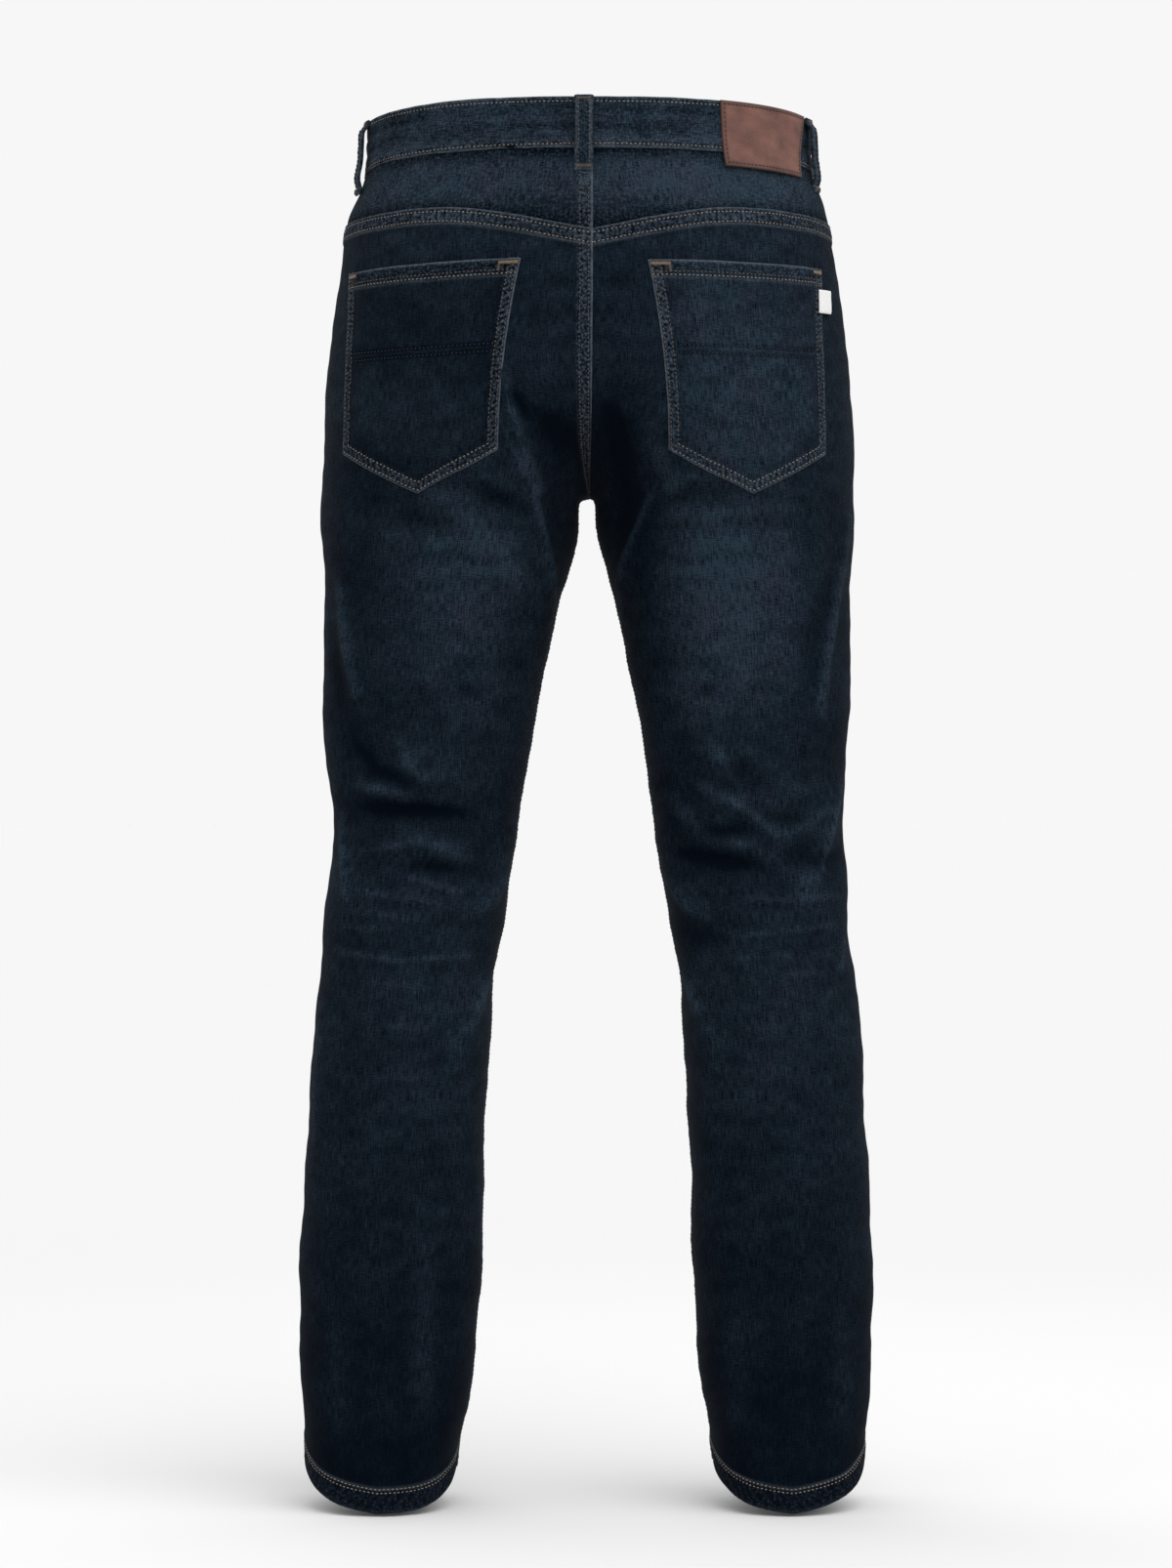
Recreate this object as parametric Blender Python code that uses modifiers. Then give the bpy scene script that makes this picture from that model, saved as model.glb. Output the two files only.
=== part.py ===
"""Straight leg jeans, hollow and filled out, as they hang from a wearer's waist.

Every piece that is cut and sewn is one closed solid. The jeans are described by sections: at each height, one side of
them (the left, -X, or the right, +X) is a rounded oval that runs from the middle seam or the inseam round the back to
the outer side and round the front again. A piece is a grid laid on that surface and thickened inwards.

Sizes are in millimetres. Heights are measured from the lowest point of the hems. The seat faces -Y, the fly +Y.
"""
import math
from collections import namedtuple

import bmesh
import bpy
from mathutils import Matrix, Vector

NAME = "straight_leg_jeans"
MM = 0.001
LEFT, RIGHT = -1, 1
BACK, FRONT = -1, 1

# ---------------------------------------------------------------- driving sizes
ORIGIN_HEIGHT = 1072.0          # middle of the waist opening, where the wearer holds the jeans
CROTCH_HEIGHT = 795.6
BAND_TOP_BACK = 1097.0          # the band's top edge at the centre back
BAND_DIP = 20.0                 # how much lower the top edge is at the centre front
BAND_DIP_POWER = 1.2
BAND_WIDTH = 38.0
BAND_THICKNESS = 2.4
BAND_PROUD = 0.9                # the band's outer face stands this far off the panels
BAND_LAP = 38.0                 # the right end runs on under the left end
DENIM = 1.2
SEAM_HALF_GAP = 0.15
LAY_GAP = 0.6                   # between a panel and a piece that lies on it
OUTSEAM_ANGLE = math.radians(8)  # the side seam lies a little to the front
OVAL_POWER = 2.2                # 2 is an ellipse, more is squarer
CROTCH_ARCH_LEFT, CROTCH_ARCH_RIGHT = 8.6, 3.9      # the arch's reach to each side
CROTCH_ARCH_RISE, CROTCH_ARCH_BLEND = 8.0, 3.0
HEM_HEIGHT = 14.0
HEM_PROUD = 0.7
HEM_LIFT, HEM_LIFT_REACH = 30.0, 1.35
HEM_SIDE_LIFT = {LEFT: (11.0, 2.0), RIGHT: (11.0, 8.0)}      # more at the outer and at the inner side
HEM_LIFT_FADE = 160.0           # the hem's slant dies out over this height
YOKE_BACK, YOKE_PEAK, YOKE_SIDE = 994.0, 1013.0, 1009.0
YOKE_PEAK_AT = 0.42             # of the way from the centre back to the side

# ---------------------------------------------------------------- sections
# outer and inner are the ends of one side's oval. Above the crotch the inner end lies past the middle, under 0, and
# the two sides' ovals are cut off where they meet. back and front are how deep the oval is either way.
Section = namedtuple("Section", "height outer_left outer_right inner_left inner_right back front")
SECTIONS = (
    Section(1100, 175.5, 174.0, -175.5, -174.0, 113, 109),
    Section(1054, 177.5, 176.0, -177.5, -176.0, 117, 110),
    Section(1012, 192.0, 189.0, -192.0, -189.0, 124, 112),
    Section(958, 199.2, 197.6, -199.2, -197.6, 129, 113),
    Section(930, 203.4, 201.6, -198.0, -196.0, 131, 113),
    Section(896, 207.7, 205.4, -160.0, -158.0, 131, 112),
    Section(869, 209.5, 207.2, -108.0, -107.0, 129, 111),
    Section(842, 210.8, 208.5, -50.0, -49.0, 124, 109),
    Section(819, 211.8, 208.8, -17.0, -16.5, 117, 106),
    Section(CROTCH_HEIGHT, 212.6, 209.0, 0.0, 0.0, 108, 103),
    Section(772, 213.1, 209.3, 6.5, 4.2, 99, 99),
    Section(726, 210.8, 206.9, 20.9, 17.1, 88, 96),
    Section(679, 210.8, 206.2, 31.8, 27.9, 81, 92),
    Section(633, 211.6, 206.9, 41.9, 37.2, 76, 88),
    Section(586, 209.3, 203.1, 49.6, 45.0, 70, 83),
    Section(540, 203.0, 200.2, 56.6, 51.2, 65, 79),
    Section(493, 206.9, 203.6, 63.6, 58.1, 63, 75),
    Section(447, 212.4, 205.2, 71.3, 65.9, 64, 71),
    Section(416, 214.5, 210.6, 76.7, 71.3, 66, 69),
    Section(354, 220.5, 216.4, 80.6, 75.2, 69, 66),
    Section(307, 222.2, 217.8, 83.7, 78.3, 70, 64),
    Section(261, 225.5, 221.7, 84.5, 80.6, 69, 63),
    Section(214, 229.0, 223.4, 85.3, 81.4, 68, 63),
    Section(152, 230.4, 224.2, 89.1, 84.5, 66, 63),
    Section(90, 229.2, 221.9, 94.6, 89.1, 64, 65),
    Section(44, 225.6, 217.6, 104.4, 97.4, 64, 67),
    Section(0, 224.0, 215.0, 109.0, 102.0, 64, 69),
)

# Folds, as soft ridges (depth over 0) or troughs (depth under 0) from one point to another of a leg, seen from the
# back or the front: x across from the middle of the jeans, h above the hems.
Fold = namedtuple("Fold", "face x_start h_start x_end h_end width depth")
FOLDS = (
    # left leg, back
    Fold(BACK, -186, 548, -100, 545, 12, -5.0),
    Fold(BACK, -192, 617, -144, 571, 12, -4.0),
    Fold(BACK, -156, 590, -100, 570, 14, 3.0),
    Fold(BACK, -160, 503, -100, 500, 11, -2.8),
    Fold(BACK, -192, 470, -110, 478, 16, 2.0),
    Fold(BACK, -60, 514, -84, 470, 9, 3.6),
    Fold(BACK, -76, 425, -95, 378, 10, 3.0),
    Fold(BACK, -204, 708, -184, 648, 13, 2.6),
    Fold(BACK, -199, 528, -190, 474, 11, 3.0),
    Fold(BACK, -69, 849, -44, 774, 15, 3.4),
    Fold(BACK, -44, 774, -29, 707, 14, 2.6),
    Fold(BACK, -55, 850, -11, 818, 15, -4.0),
    Fold(BACK, -170, 788, -130, 772, 11, -3.0),
    Fold(BACK, -173, 770, -134, 752, 12, 2.0),
    # right leg, back
    Fold(BACK, 68, 512, 131, 508, 12, -4.0),
    Fold(BACK, 114, 536, 162, 532, 10, -3.2),
    Fold(BACK, 120, 556, 178, 560, 14, 2.4),
    Fold(BACK, 52, 511, 89, 463, 9, 3.4),
    Fold(BACK, 70, 428, 93, 371, 10, 3.0),
    Fold(BACK, 186, 690, 184, 624, 13, 2.4),
    Fold(BACK, 195, 559, 175, 498, 11, 3.0),
    Fold(BACK, 37, 776, 24, 724, 8, 2.0),
    Fold(BACK, 18, 838, 30, 762, 18, -5.0),
    Fold(BACK, 84, 793, 103, 787, 9, -2.5),
    Fold(BACK, 106, 450, 190, 447, 9, -1.6),
    # left leg, front
    Fold(FRONT, -14, 832, -96, 862, 11, -3.4),
    Fold(FRONT, -20, 806, -104, 812, 12, -3.8),
    Fold(FRONT, -26, 776, -90, 752, 11, -2.8),
    Fold(FRONT, -24, 792, -84, 786, 9, 2.2),
    Fold(FRONT, -70, 560, -150, 532, 12, -3.2),
    Fold(FRONT, -84, 508, -170, 520, 11, -2.8),
    Fold(FRONT, -88, 470, -150, 452, 12, -2.4),
    Fold(FRONT, -150, 180, -176, 90, 16, 2.6),
    # right leg, front
    Fold(FRONT, 14, 826, 104, 856, 12, -3.6),
    Fold(FRONT, 18, 800, 92, 804, 11, -3.2),
    Fold(FRONT, 28, 770, 98, 742, 12, -3.0),
    Fold(FRONT, 26, 786, 80, 778, 9, 2.0),
    Fold(FRONT, 64, 548, 140, 556, 12, -3.0),
    Fold(FRONT, 76, 520, 158, 500, 11, -3.4),
    Fold(FRONT, 86, 462, 140, 448, 12, -2.2),
    Fold(FRONT, 146, 200, 168, 100, 16, 2.4),
)

# ---------------------------------------------------------------- grid rows, as heights on the leg
HEM_ROWS = (0, 13.2, HEM_HEIGHT, 42)
LEG_ROWS = (82, 128, 176, 226, 276, 320, 356, 388, 414, 436, 456, 474, 490, 506, 520, 534, 546, 559, 574, 592, 614,
            642, 674, 706, 736, 760, 776, 787)
CROTCH_ROWS = (792, 794.6, CROTCH_HEIGHT, 798, 803, 812, 826, 846, 868)
BACK_TOP_ROWS = (900, 936, 974, YOKE_PEAK)
FRONT_TOP_ROWS = (890, 904, 918, 944, 970, 996, 1024, 1052)
BLEND_HEIGHT = 868.0            # above it the rows bend to follow the panel's top edge
PANEL_COLUMNS = {BACK: 13, FRONT: 10}
YOKE_ROWS = 4
BAND_COLUMNS, BAND_ROWS = 80, 2

# ---------------------------------------------------------------- small pieces
SCOOP_START = 0.5               # of the way from the centre front to the side seam
SCOOP_DEPTH = 72.0
SCOOP_POWER = 2.2
FACING_HIDDEN = 14.0            # the facing runs on this far behind the front panel
FACING_THICKNESS = 1.0
FACING_COLUMNS, FACING_ROWS = 6, 6
FLY_BOTTOM = 904.0
FLY_WIDTH = 38.0
FLY_RAISE = 1.55                # the left front stands this far off the right one at the fly
FLY_LAP = 2.0
SHIELD_HEIGHT, ZIP_HEIGHT = 150.0, 138.0
SHIELD_HALF_WIDTH, ZIP_HALF_WIDTH = 24.0, 14.0
ZIP_SINK, ZIP_SINK_WIDTH = 3.6, 9.0     # the chain lies deeper than the tape's sewn edges
ZIP_CHAIN_WIDTH, ZIP_CHAIN_PROUD = 2.6, 0.8
TAPE_THICKNESS = 1.0
SLIDER_TOP_DROP = 6.0           # below the band's lower edge
SLIDER_BODY, SLIDER_TAB = (9.0, 11.0), (6.0, 22.0)
SLIDER_THICKNESS = 1.6

Pocket = namedtuple("Pocket", "side top_inner top_outer bottom_outer point bottom_inner")
POCKETS = {
    "back_pocket_left": Pocket(LEFT, (-53.2, 971.4), (-187.4, 967.1), (-191.4, 825.1), (-132.9, 792.8),
                               (-71.1, 825.8)),
    "back_pocket_right": Pocket(RIGHT, (44.5, 970.0), (179.5, 969.6), (182.2, 824.2), (125.8, 792.8),
                                (60.8, 825.8)),
}
POCKET_COLUMNS, POCKET_ROWS = 14, 11
POCKET_THICKNESS = 1.3
POCKET_BOW = 3.6                # the inner edge curves this far into the pocket
POCKET_INNER, POCKET_OUTER, POCKET_MOUTH = 46.0, 200.0, 976.0   # the area that a pocket holds flat
POCKET_MIDDLE, POCKET_POINT_HEIGHT, POCKET_BOTTOM_SLOPE = 130.0, 788.0, 0.5
POCKET_HOLD_FADE = 14.0

TAB_X, TAB_HEIGHTS, TAB_THICKNESS = (176.5, 185.4), (935.0, 953.2), 1.0

LOOP_ANGLES = {                 # round from the centre back, + towards the right
    "belt_loop_back": -1.2,
    "belt_loop_side_left": -80.0,
    "belt_loop_side_right": 76.0,
    "belt_loop_front_left": -141.0,
    "belt_loop_front_right": 141.0,
}
LOOP_WIDTH, LOOP_THICKNESS = 13.0, 2.4
LOOP_REACH = 19.0               # below the band's lower edge
LOOP_STAND = 5.4                # clear space between the band and the loop
LoopPoint = namedtuple("LoopPoint", "above_seam stand")     # stand of its inner face from the band's
LOOP_PATH = (
    LoopPoint(-LOOP_REACH, LAY_GAP - BAND_PROUD),
    LoopPoint(-15.0, LAY_GAP - BAND_PROUD + 0.3),
    LoopPoint(-11.5, 2.2),
    LoopPoint(-8.0, 4.2),
    LoopPoint(-3.0, LOOP_STAND),
    LoopPoint(4.0, LOOP_STAND),
    LoopPoint(16.0, LOOP_STAND + 0.3),
    LoopPoint(27.5, LOOP_STAND),
    LoopPoint(31.0, 4.2),
    LoopPoint(33.5, 2.2),
    LoopPoint(35.5, LAY_GAP),
    LoopPoint(38.5, LAY_GAP),
)

PATCH_ANGLES_TOP = (32.8, 70.9)
PATCH_ANGLES_BOTTOM = (33.6, 64.6)
PATCH_HEIGHT, PATCH_THICKNESS = 51.0, 1.8
PATCH_COLUMNS, PATCH_ROWS = 10, 5

BUTTON_X, BUTTON_DROP = -15.0, 19.0
ButtonPoint = namedtuple("ButtonPoint", "radius height")
BUTTON_PROFILE = (              # from the crown down to the foot
    ButtonPoint(0.0, 4.6),
    ButtonPoint(3.6, 4.4),
    ButtonPoint(4.6, 3.9),
    ButtonPoint(6.4, 4.1),
    ButtonPoint(7.8, 3.9),
    ButtonPoint(8.4, 3.2),
    ButtonPoint(8.1, 2.4),
    ButtonPoint(6.8, 2.0),
    ButtonPoint(3.2, 1.9),
    ButtonPoint(3.0, 0.0),
    ButtonPoint(0.0, 0.0),
)
BUTTON_STEPS = 20

# name: base colour, roughness, metallic
FINISHES = {
    "denim": ((0.012, 0.022, 0.045, 1), 0.85, 0.0),
    "denim_band": ((0.014, 0.026, 0.050, 1), 0.85, 0.0),
    "leather": ((0.085, 0.030, 0.020, 1), 0.55, 0.0),
    "label": ((0.80, 0.80, 0.80, 1), 0.80, 0.0),
    "tape": ((0.010, 0.014, 0.026, 1), 0.80, 0.0),
    "metal": ((0.24, 0.16, 0.09, 1), 0.40, 1.0),
}


# ---------------------------------------------------------------- small helpers
def clamp(value, low=0.0, high=1.0):
    return max(low, min(high, value))


def ease(value):
    """0 to 1 with level ends."""
    value = clamp(value)
    return value * value * (3 - 2 * value)


def mix(start, end, part):
    return start + (end - start) * part


def signed_power(value, power):
    return math.copysign(abs(value) ** power, value)


def sloped_column(column):
    """Heights, values and slopes of one column of SECTIONS, lowest first."""
    rows = sorted((row.height, getattr(row, column)) for row in SECTIONS)
    heights = [height for height, _ in rows]
    values = [value for _, value in rows]
    slopes = []
    for i in range(len(rows)):
        low, high = max(i - 1, 0), min(i + 1, len(rows) - 1)
        slopes.append((values[high] - values[low]) / (heights[high] - heights[low]))
    return heights, values, slopes


COLUMNS = {column: sloped_column(column) for column in Section._fields[1:]}


def read_column(column, height):
    """One column of SECTIONS at any height, by cubic pieces."""
    heights, values, slopes = COLUMNS[column]
    height = clamp(height, heights[0], heights[-1])
    i = 0
    while heights[i + 1] < height:
        i += 1
    span = heights[i + 1] - heights[i]
    t = (height - heights[i]) / span
    return (values[i] * (1 + 2 * t) * (1 - t) ** 2 + slopes[i] * span * t * (1 - t) ** 2
            + values[i + 1] * t * t * (3 - 2 * t) + slopes[i + 1] * span * t * t * (t - 1))


# ---------------------------------------------------------------- the surface of the jeans
def oval(side, height):
    """Centre and half width of one side's oval, both measured away from the middle."""
    outer = read_column("outer_left" if side == LEFT else "outer_right", height)
    inner = max(read_column("inner_left" if side == LEFT else "inner_right", height), -outer)
    return SEAM_HALF_GAP + (outer + inner) / 2, (outer - inner) / 2


def open_crotch(side, across, height):
    """Rounds off the cloth between the legs into a flat-topped arch, close to the crotch only."""
    arch = clamp((CROTCH_HEIGHT - height) / CROTCH_ARCH_RISE)
    arch = (1 - (1 - arch) ** 2.5) ** 0.4
    limit = SEAM_HALF_GAP + arch * (CROTCH_ARCH_LEFT if side == LEFT else CROTCH_ARCH_RIGHT)
    return (across + limit + math.hypot(across - limit, CROTCH_ARCH_BLEND * arch)) / 2


def inner_angle(side, height):
    """The oval's angle where it meets the middle seam or the inseam, less half the seam's gap."""
    centre, half_width = oval(side, height)
    part = clamp((SEAM_HALF_GAP - centre) / half_width, -1, 1)
    meeting = math.acos(signed_power(part, OVAL_POWER / 2))
    return min(meeting, math.pi - SEAM_HALF_GAP / read_column("back", height))


def plain_point(side, angle, height):
    """The surface without its folds. The angle is -90 at the back, 0 at the outer side and 90 at the front."""
    centre, half_width = oval(side, height)
    depth = read_column("back" if math.sin(angle) < 0 else "front", height)
    across = centre + half_width * signed_power(math.cos(angle), 2 / OVAL_POWER)
    if height < CROTCH_HEIGHT:
        across = open_crotch(side, across, height)
    return Vector((side * across, depth * signed_power(math.sin(angle), 2 / OVAL_POWER), height - ORIGIN_HEIGHT))


def outward(side, angle, height):
    """The surface's outward direction."""
    turn, rise = 0.02, 1.0
    round_it = plain_point(side, angle + turn, height) - plain_point(side, angle - turn, height)
    up_it = plain_point(side, angle, height + rise) - plain_point(side, angle, height - rise)
    return round_it.cross(up_it).normalized() * side


def pocket_hold(x, height):
    """1 under a back pocket, whose second layer holds the panel flat, and 0 well clear of it."""
    across = abs(x)
    bottom = POCKET_POINT_HEIGHT + abs(across - POCKET_MIDDLE) * POCKET_BOTTOM_SLOPE
    inside = min(across - POCKET_INNER, POCKET_OUTER - across, height - bottom, POCKET_MOUTH - height)
    return ease(1 + inside / POCKET_HOLD_FADE)


def fold_depth(face_weight, x, height):
    """How far the folds lift the surface at x, height. The weight is -1 on the back and 1 on the front."""
    total = 0.0
    for fold in FOLDS:
        weight = clamp(fold.face * face_weight * 1.6)
        if weight == 0 or fold.x_start * x < 0:
            continue
        run_x, run_h = fold.x_end - fold.x_start, fold.h_end - fold.h_start
        along = ((x - fold.x_start) * run_x + (height - fold.h_start) * run_h) / (run_x ** 2 + run_h ** 2)
        near = clamp(along)
        gap = math.hypot(x - fold.x_start - near * run_x, height - fold.h_start - near * run_h)
        if gap < 3 * fold.width:
            swell = 0.55 + 0.45 * math.sin(math.pi * near)
            total += fold.depth * weight * swell * math.exp(-(gap / fold.width) ** 2)
    return total * (1 - pocket_hold(x, height) * clamp(-face_weight * 3))


def surface(side, angle, height, offset=0.0):
    """A point of the outer face, with its folds, moved out by offset."""
    point = plain_point(side, angle, height)
    lift = fold_depth(math.sin(angle), point.x, height) + offset
    return point + outward(side, angle, height) * lift


def angle_at(side, x, height, face):
    """The oval's angle at a distance x across, on the back or the front."""
    centre, half_width = oval(side, height)
    part = clamp((side * x - centre) / half_width, -1, 1)
    return face * math.acos(signed_power(part, OVAL_POWER / 2))


def surface_at_x(x, height, face, offset=0.0):
    """A point of the outer face above x on the back or the front."""
    side = LEFT if x < 0 else RIGHT
    return surface(side, angle_at(side, x, height, face), height, offset)


def round_the_body(degrees, height, offset=0.0):
    """A point of the outer face, by the angle round from the centre back, + towards the right."""
    degrees = (degrees + 180) % 360 - 180
    side = LEFT if degrees < 0 else RIGHT
    return surface(side, math.radians(abs(degrees) - 90), height, offset)


def panel_angle(side, face, part, height):
    """The oval's angle part of the way from a panel's middle edge to its side seam.

    Where the two sides are cut off at the middle, the columns nearest to it close up most, so that the others run
    straight down past the crotch.
    """
    outseam = math.pi - face * (OUTSEAM_ANGLE + face * SEAM_HALF_GAP / read_column("front", height))
    cut_off = math.pi - inner_angle(side, height)
    power = clamp(0.75 * outseam / max(cut_off, 0.001), 1, 4)
    return face * (math.pi - outseam * part - cut_off * (1 - part) ** power)


def seam_degrees(face, part, height):
    """Angle round from the centre back, part of the way from a panel's middle edge to its side seam."""
    return 90 + math.degrees(panel_angle(RIGHT, face, part, height))


def band_top(degrees):
    """Height of the band's top edge."""
    front = (1 - math.cos(math.radians(degrees))) / 2
    return BAND_TOP_BACK - BAND_DIP * front ** BAND_DIP_POWER


def band_seam(degrees):
    """Height of the seam under the band."""
    return band_top(degrees) - BAND_WIDTH


def yoke_seam(degrees):
    """Height of the seam between the yoke and the back panel."""
    part = degrees / 90
    if part < YOKE_PEAK_AT:
        return mix(YOKE_BACK, YOKE_PEAK, math.sin(part / YOKE_PEAK_AT * math.pi / 2))
    return mix(YOKE_PEAK, YOKE_SIDE, ease((part - YOKE_PEAK_AT) / (1 - YOKE_PEAK_AT)))


def scoop_edge(part):
    """Height of the front panel's top edge, with its pocket opening, part of the way to the side seam."""
    degrees = seam_degrees(FRONT, part, BAND_TOP_BACK - BAND_WIDTH)
    down = 1 - (1 - clamp((part - SCOOP_START) / (1 - SCOOP_START))) ** SCOOP_POWER
    return band_seam(degrees) - SCOOP_DEPTH * down


# ---------------------------------------------------------------- making objects
def start_scene():
    for thing in list(bpy.data.objects):
        bpy.data.objects.remove(thing)
    collection = bpy.data.collections.new(NAME)
    bpy.context.scene.collection.children.link(collection)
    root = bpy.data.objects.new(NAME + "_frame", None)
    collection.objects.link(root)
    return collection, root


def finish_material(name):
    material = bpy.data.materials.get(name)
    if material is None:
        colour, roughness, metallic = FINISHES[name]
        material = bpy.data.materials.new(name)
        material.use_nodes = True
        shader = material.node_tree.nodes["Principled BSDF"]
        shader.inputs["Base Color"].default_value = colour
        shader.inputs["Roughness"].default_value = roughness
        shader.inputs["Metallic"].default_value = metallic
    return material


def add_object(name, mesh, finish):
    mesh.materials.append(finish_material(finish))
    mesh.shade_smooth()
    mesh.set_sharp_from_angle(angle=math.radians(50))
    thing = bpy.data.objects.new(name, mesh)
    COLLECTION.objects.link(thing)
    thing.parent = ROOT
    return thing


def cloth(name, finish, columns, rows, place, thickness=DENIM):
    """A grid laid on place(part across, part up, offset), its outer face, and thickened inwards."""
    grid = bmesh.new()
    bmesh.ops.create_grid(grid, x_segments=columns, y_segments=rows, size=0.5)
    for vertex in grid.verts:
        across, up = vertex.co.x + 0.5, vertex.co.y + 0.5
        vertex.co = place(across, up, 0.0) * MM
    grid.normal_update()
    middle = place(0.5, 0.5, 1.0) - place(0.5, 0.5, 0.0)
    nearest = min(grid.faces, key=lambda face: (face.calc_center_median() - place(0.5, 0.5, 0.0) * MM).length)
    if nearest.normal.dot(middle) < 0:
        bmesh.ops.reverse_faces(grid, faces=grid.faces)
    mesh = bpy.data.meshes.new(name)
    grid.to_mesh(mesh)
    grid.free()
    thing = add_object(name, mesh, finish)
    wall = thing.modifiers.new("wall", "SOLIDIFY")
    wall.thickness = thickness * MM
    wall.offset = -1
    return thing


# ---------------------------------------------------------------- the leg panels and yokes
def hem_lift(side, angle):
    """The hem is lowest at the back, higher at the sides and level over the foot."""
    outer, inner = HEM_SIDE_LIFT[side]
    across = math.cos(angle)
    return HEM_LIFT * ease((1 + math.sin(angle)) / HEM_LIFT_REACH) + (outer if across > 0 else inner) * abs(across)


def closer_at_seams(part):
    """Narrows a panel's first and last columns, so that its wall turns square to the seam."""
    return mix(part, ease(part), 0.5)


def panel_height(side, face, part, row):
    """Height of a panel's grid row, part of the way from its middle edge to its side seam."""
    rows = HEM_ROWS + LEG_ROWS + CROTCH_ROWS + (BACK_TOP_ROWS if face == BACK else FRONT_TOP_ROWS)
    height, top_row = rows[row], rows[-1]
    leg_angle = face * mix(math.pi, face * OUTSEAM_ANGLE, part)
    lifted = height + hem_lift(side, leg_angle) * (1 - clamp(height / HEM_LIFT_FADE))
    top = yoke_seam(seam_degrees(BACK, part, YOKE_PEAK)) if face == BACK else scoop_edge(part)
    blend = clamp((height - BLEND_HEIGHT) / (top_row - BLEND_HEIGHT))
    return lifted + (top - SEAM_HALF_GAP - top_row) * blend


def fly_raise(x, height):
    """The left front rises over the right one towards the fly's edge."""
    return FLY_RAISE * ease((FLY_WIDTH + x) / (FLY_WIDTH - 6)) * ease((height - FLY_BOTTOM + 15) / 12)


def panel(name, side, face):
    """A leg panel, from the hem to the yoke or the band."""
    rows = len(HEM_ROWS + LEG_ROWS + CROTCH_ROWS + (BACK_TOP_ROWS if face == BACK else FRONT_TOP_ROWS)) - 1

    def place(across, up, offset):
        row = round(up * rows)
        height = panel_height(side, face, closer_at_seams(across), row)
        part = closer_at_seams(across)
        angle = panel_angle(side, face, part, height)
        if side == LEFT and face == FRONT:
            lap = (FLY_LAP + SEAM_HALF_GAP) * ease((height - FLY_BOTTOM + 2) / 12)
            angle += signed_power(lap / oval(side, height)[1], OVAL_POWER / 2) * (1 - part) ** 2
        if row <= 1:
            offset += HEM_PROUD
        if side == LEFT and face == FRONT:
            offset += fly_raise(plain_point(side, angle, height).x, height)
        return surface(side, angle, height, offset)

    cloth(name, "denim", PANEL_COLUMNS[face], rows, place)


def yoke(name, side):
    """A back yoke, between the back panel and the band."""
    def place(across, up, offset):
        degrees = seam_degrees(BACK, closer_at_seams(across), YOKE_PEAK)
        height = mix(yoke_seam(degrees) + SEAM_HALF_GAP, band_seam(degrees) - SEAM_HALF_GAP, up)
        return surface(side, panel_angle(side, BACK, closer_at_seams(across), height), height, offset)

    cloth(name, "denim", PANEL_COLUMNS[BACK], YOKE_ROWS, place)


# ---------------------------------------------------------------- the waistband and what is on it
def degrees_at_front(x, height):
    """The angle round the body of a point x across the front."""
    side = LEFT if x < 0 else RIGHT
    return side * (math.degrees(angle_at(side, x, height, FRONT)) + 90)


def band_lap_rise(degrees):
    """The left end lies over the right end, so it stands off by the band's own thickness."""
    past_lap = (degrees + 180) / 30
    return (BAND_THICKNESS + 0.3) * (1 - ease((past_lap - 0.45) / 0.55))


def waistband():
    """One strip, from its left end at the fly's edge all round to its right end under it."""
    front_height = band_seam(180)
    start = -360 + degrees_at_front(FLY_LAP, front_height)
    end = 360 + degrees_at_front(-BAND_LAP, front_height)

    def place(across, up, offset):
        degrees = mix(start, end, across)
        height = mix(band_seam(degrees) + SEAM_HALF_GAP, band_top(degrees), up)
        rise = band_lap_rise(degrees) if degrees < -90 else 0.0
        return round_the_body(degrees, height, BAND_PROUD + rise + offset)

    cloth("waistband", "denim_band", BAND_COLUMNS, BAND_ROWS, place, BAND_THICKNESS)


def belt_loop(name, degrees):
    """A strip that stands off the band and is sewn at its top edge and below it."""
    seam = band_seam(degrees)
    degree_length = (round_the_body(degrees + 0.5, seam) - round_the_body(degrees - 0.5, seam)).length
    half_turn = LOOP_WIDTH / 2 / degree_length
    middle = round_the_body(degrees, seam + BAND_WIDTH / 2)
    out = (round_the_body(degrees, seam + BAND_WIDTH / 2, 1.0) - middle).normalized()
    front_lift = band_lap_rise(degrees) if degrees < -90 else 0.0

    def place(across, up, offset):
        point = LOOP_PATH[round(up * (len(LOOP_PATH) - 1))]
        base = round_the_body(degrees + mix(-half_turn, half_turn, across), seam + point.above_seam)
        return base + out * (BAND_PROUD + front_lift + point.stand + LOOP_THICKNESS + offset)

    cloth(name, "denim_band", 2, len(LOOP_PATH) - 1, place, LOOP_THICKNESS)


def leather_patch():
    """The patch covers the band and a little of the yoke, right of the centre back."""
    def place(across, up, offset):
        degrees = mix(mix(PATCH_ANGLES_BOTTOM[0], PATCH_ANGLES_TOP[0], up),
                      mix(PATCH_ANGLES_BOTTOM[1], PATCH_ANGLES_TOP[1], up), across)
        height = band_top(degrees) + 0.3 - PATCH_HEIGHT * (1 - up)
        return round_the_body(degrees, height, BAND_PROUD + LAY_GAP + PATCH_THICKNESS + offset)

    cloth("leather_patch", "leather", PATCH_COLUMNS, PATCH_ROWS, place, PATCH_THICKNESS)


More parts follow.
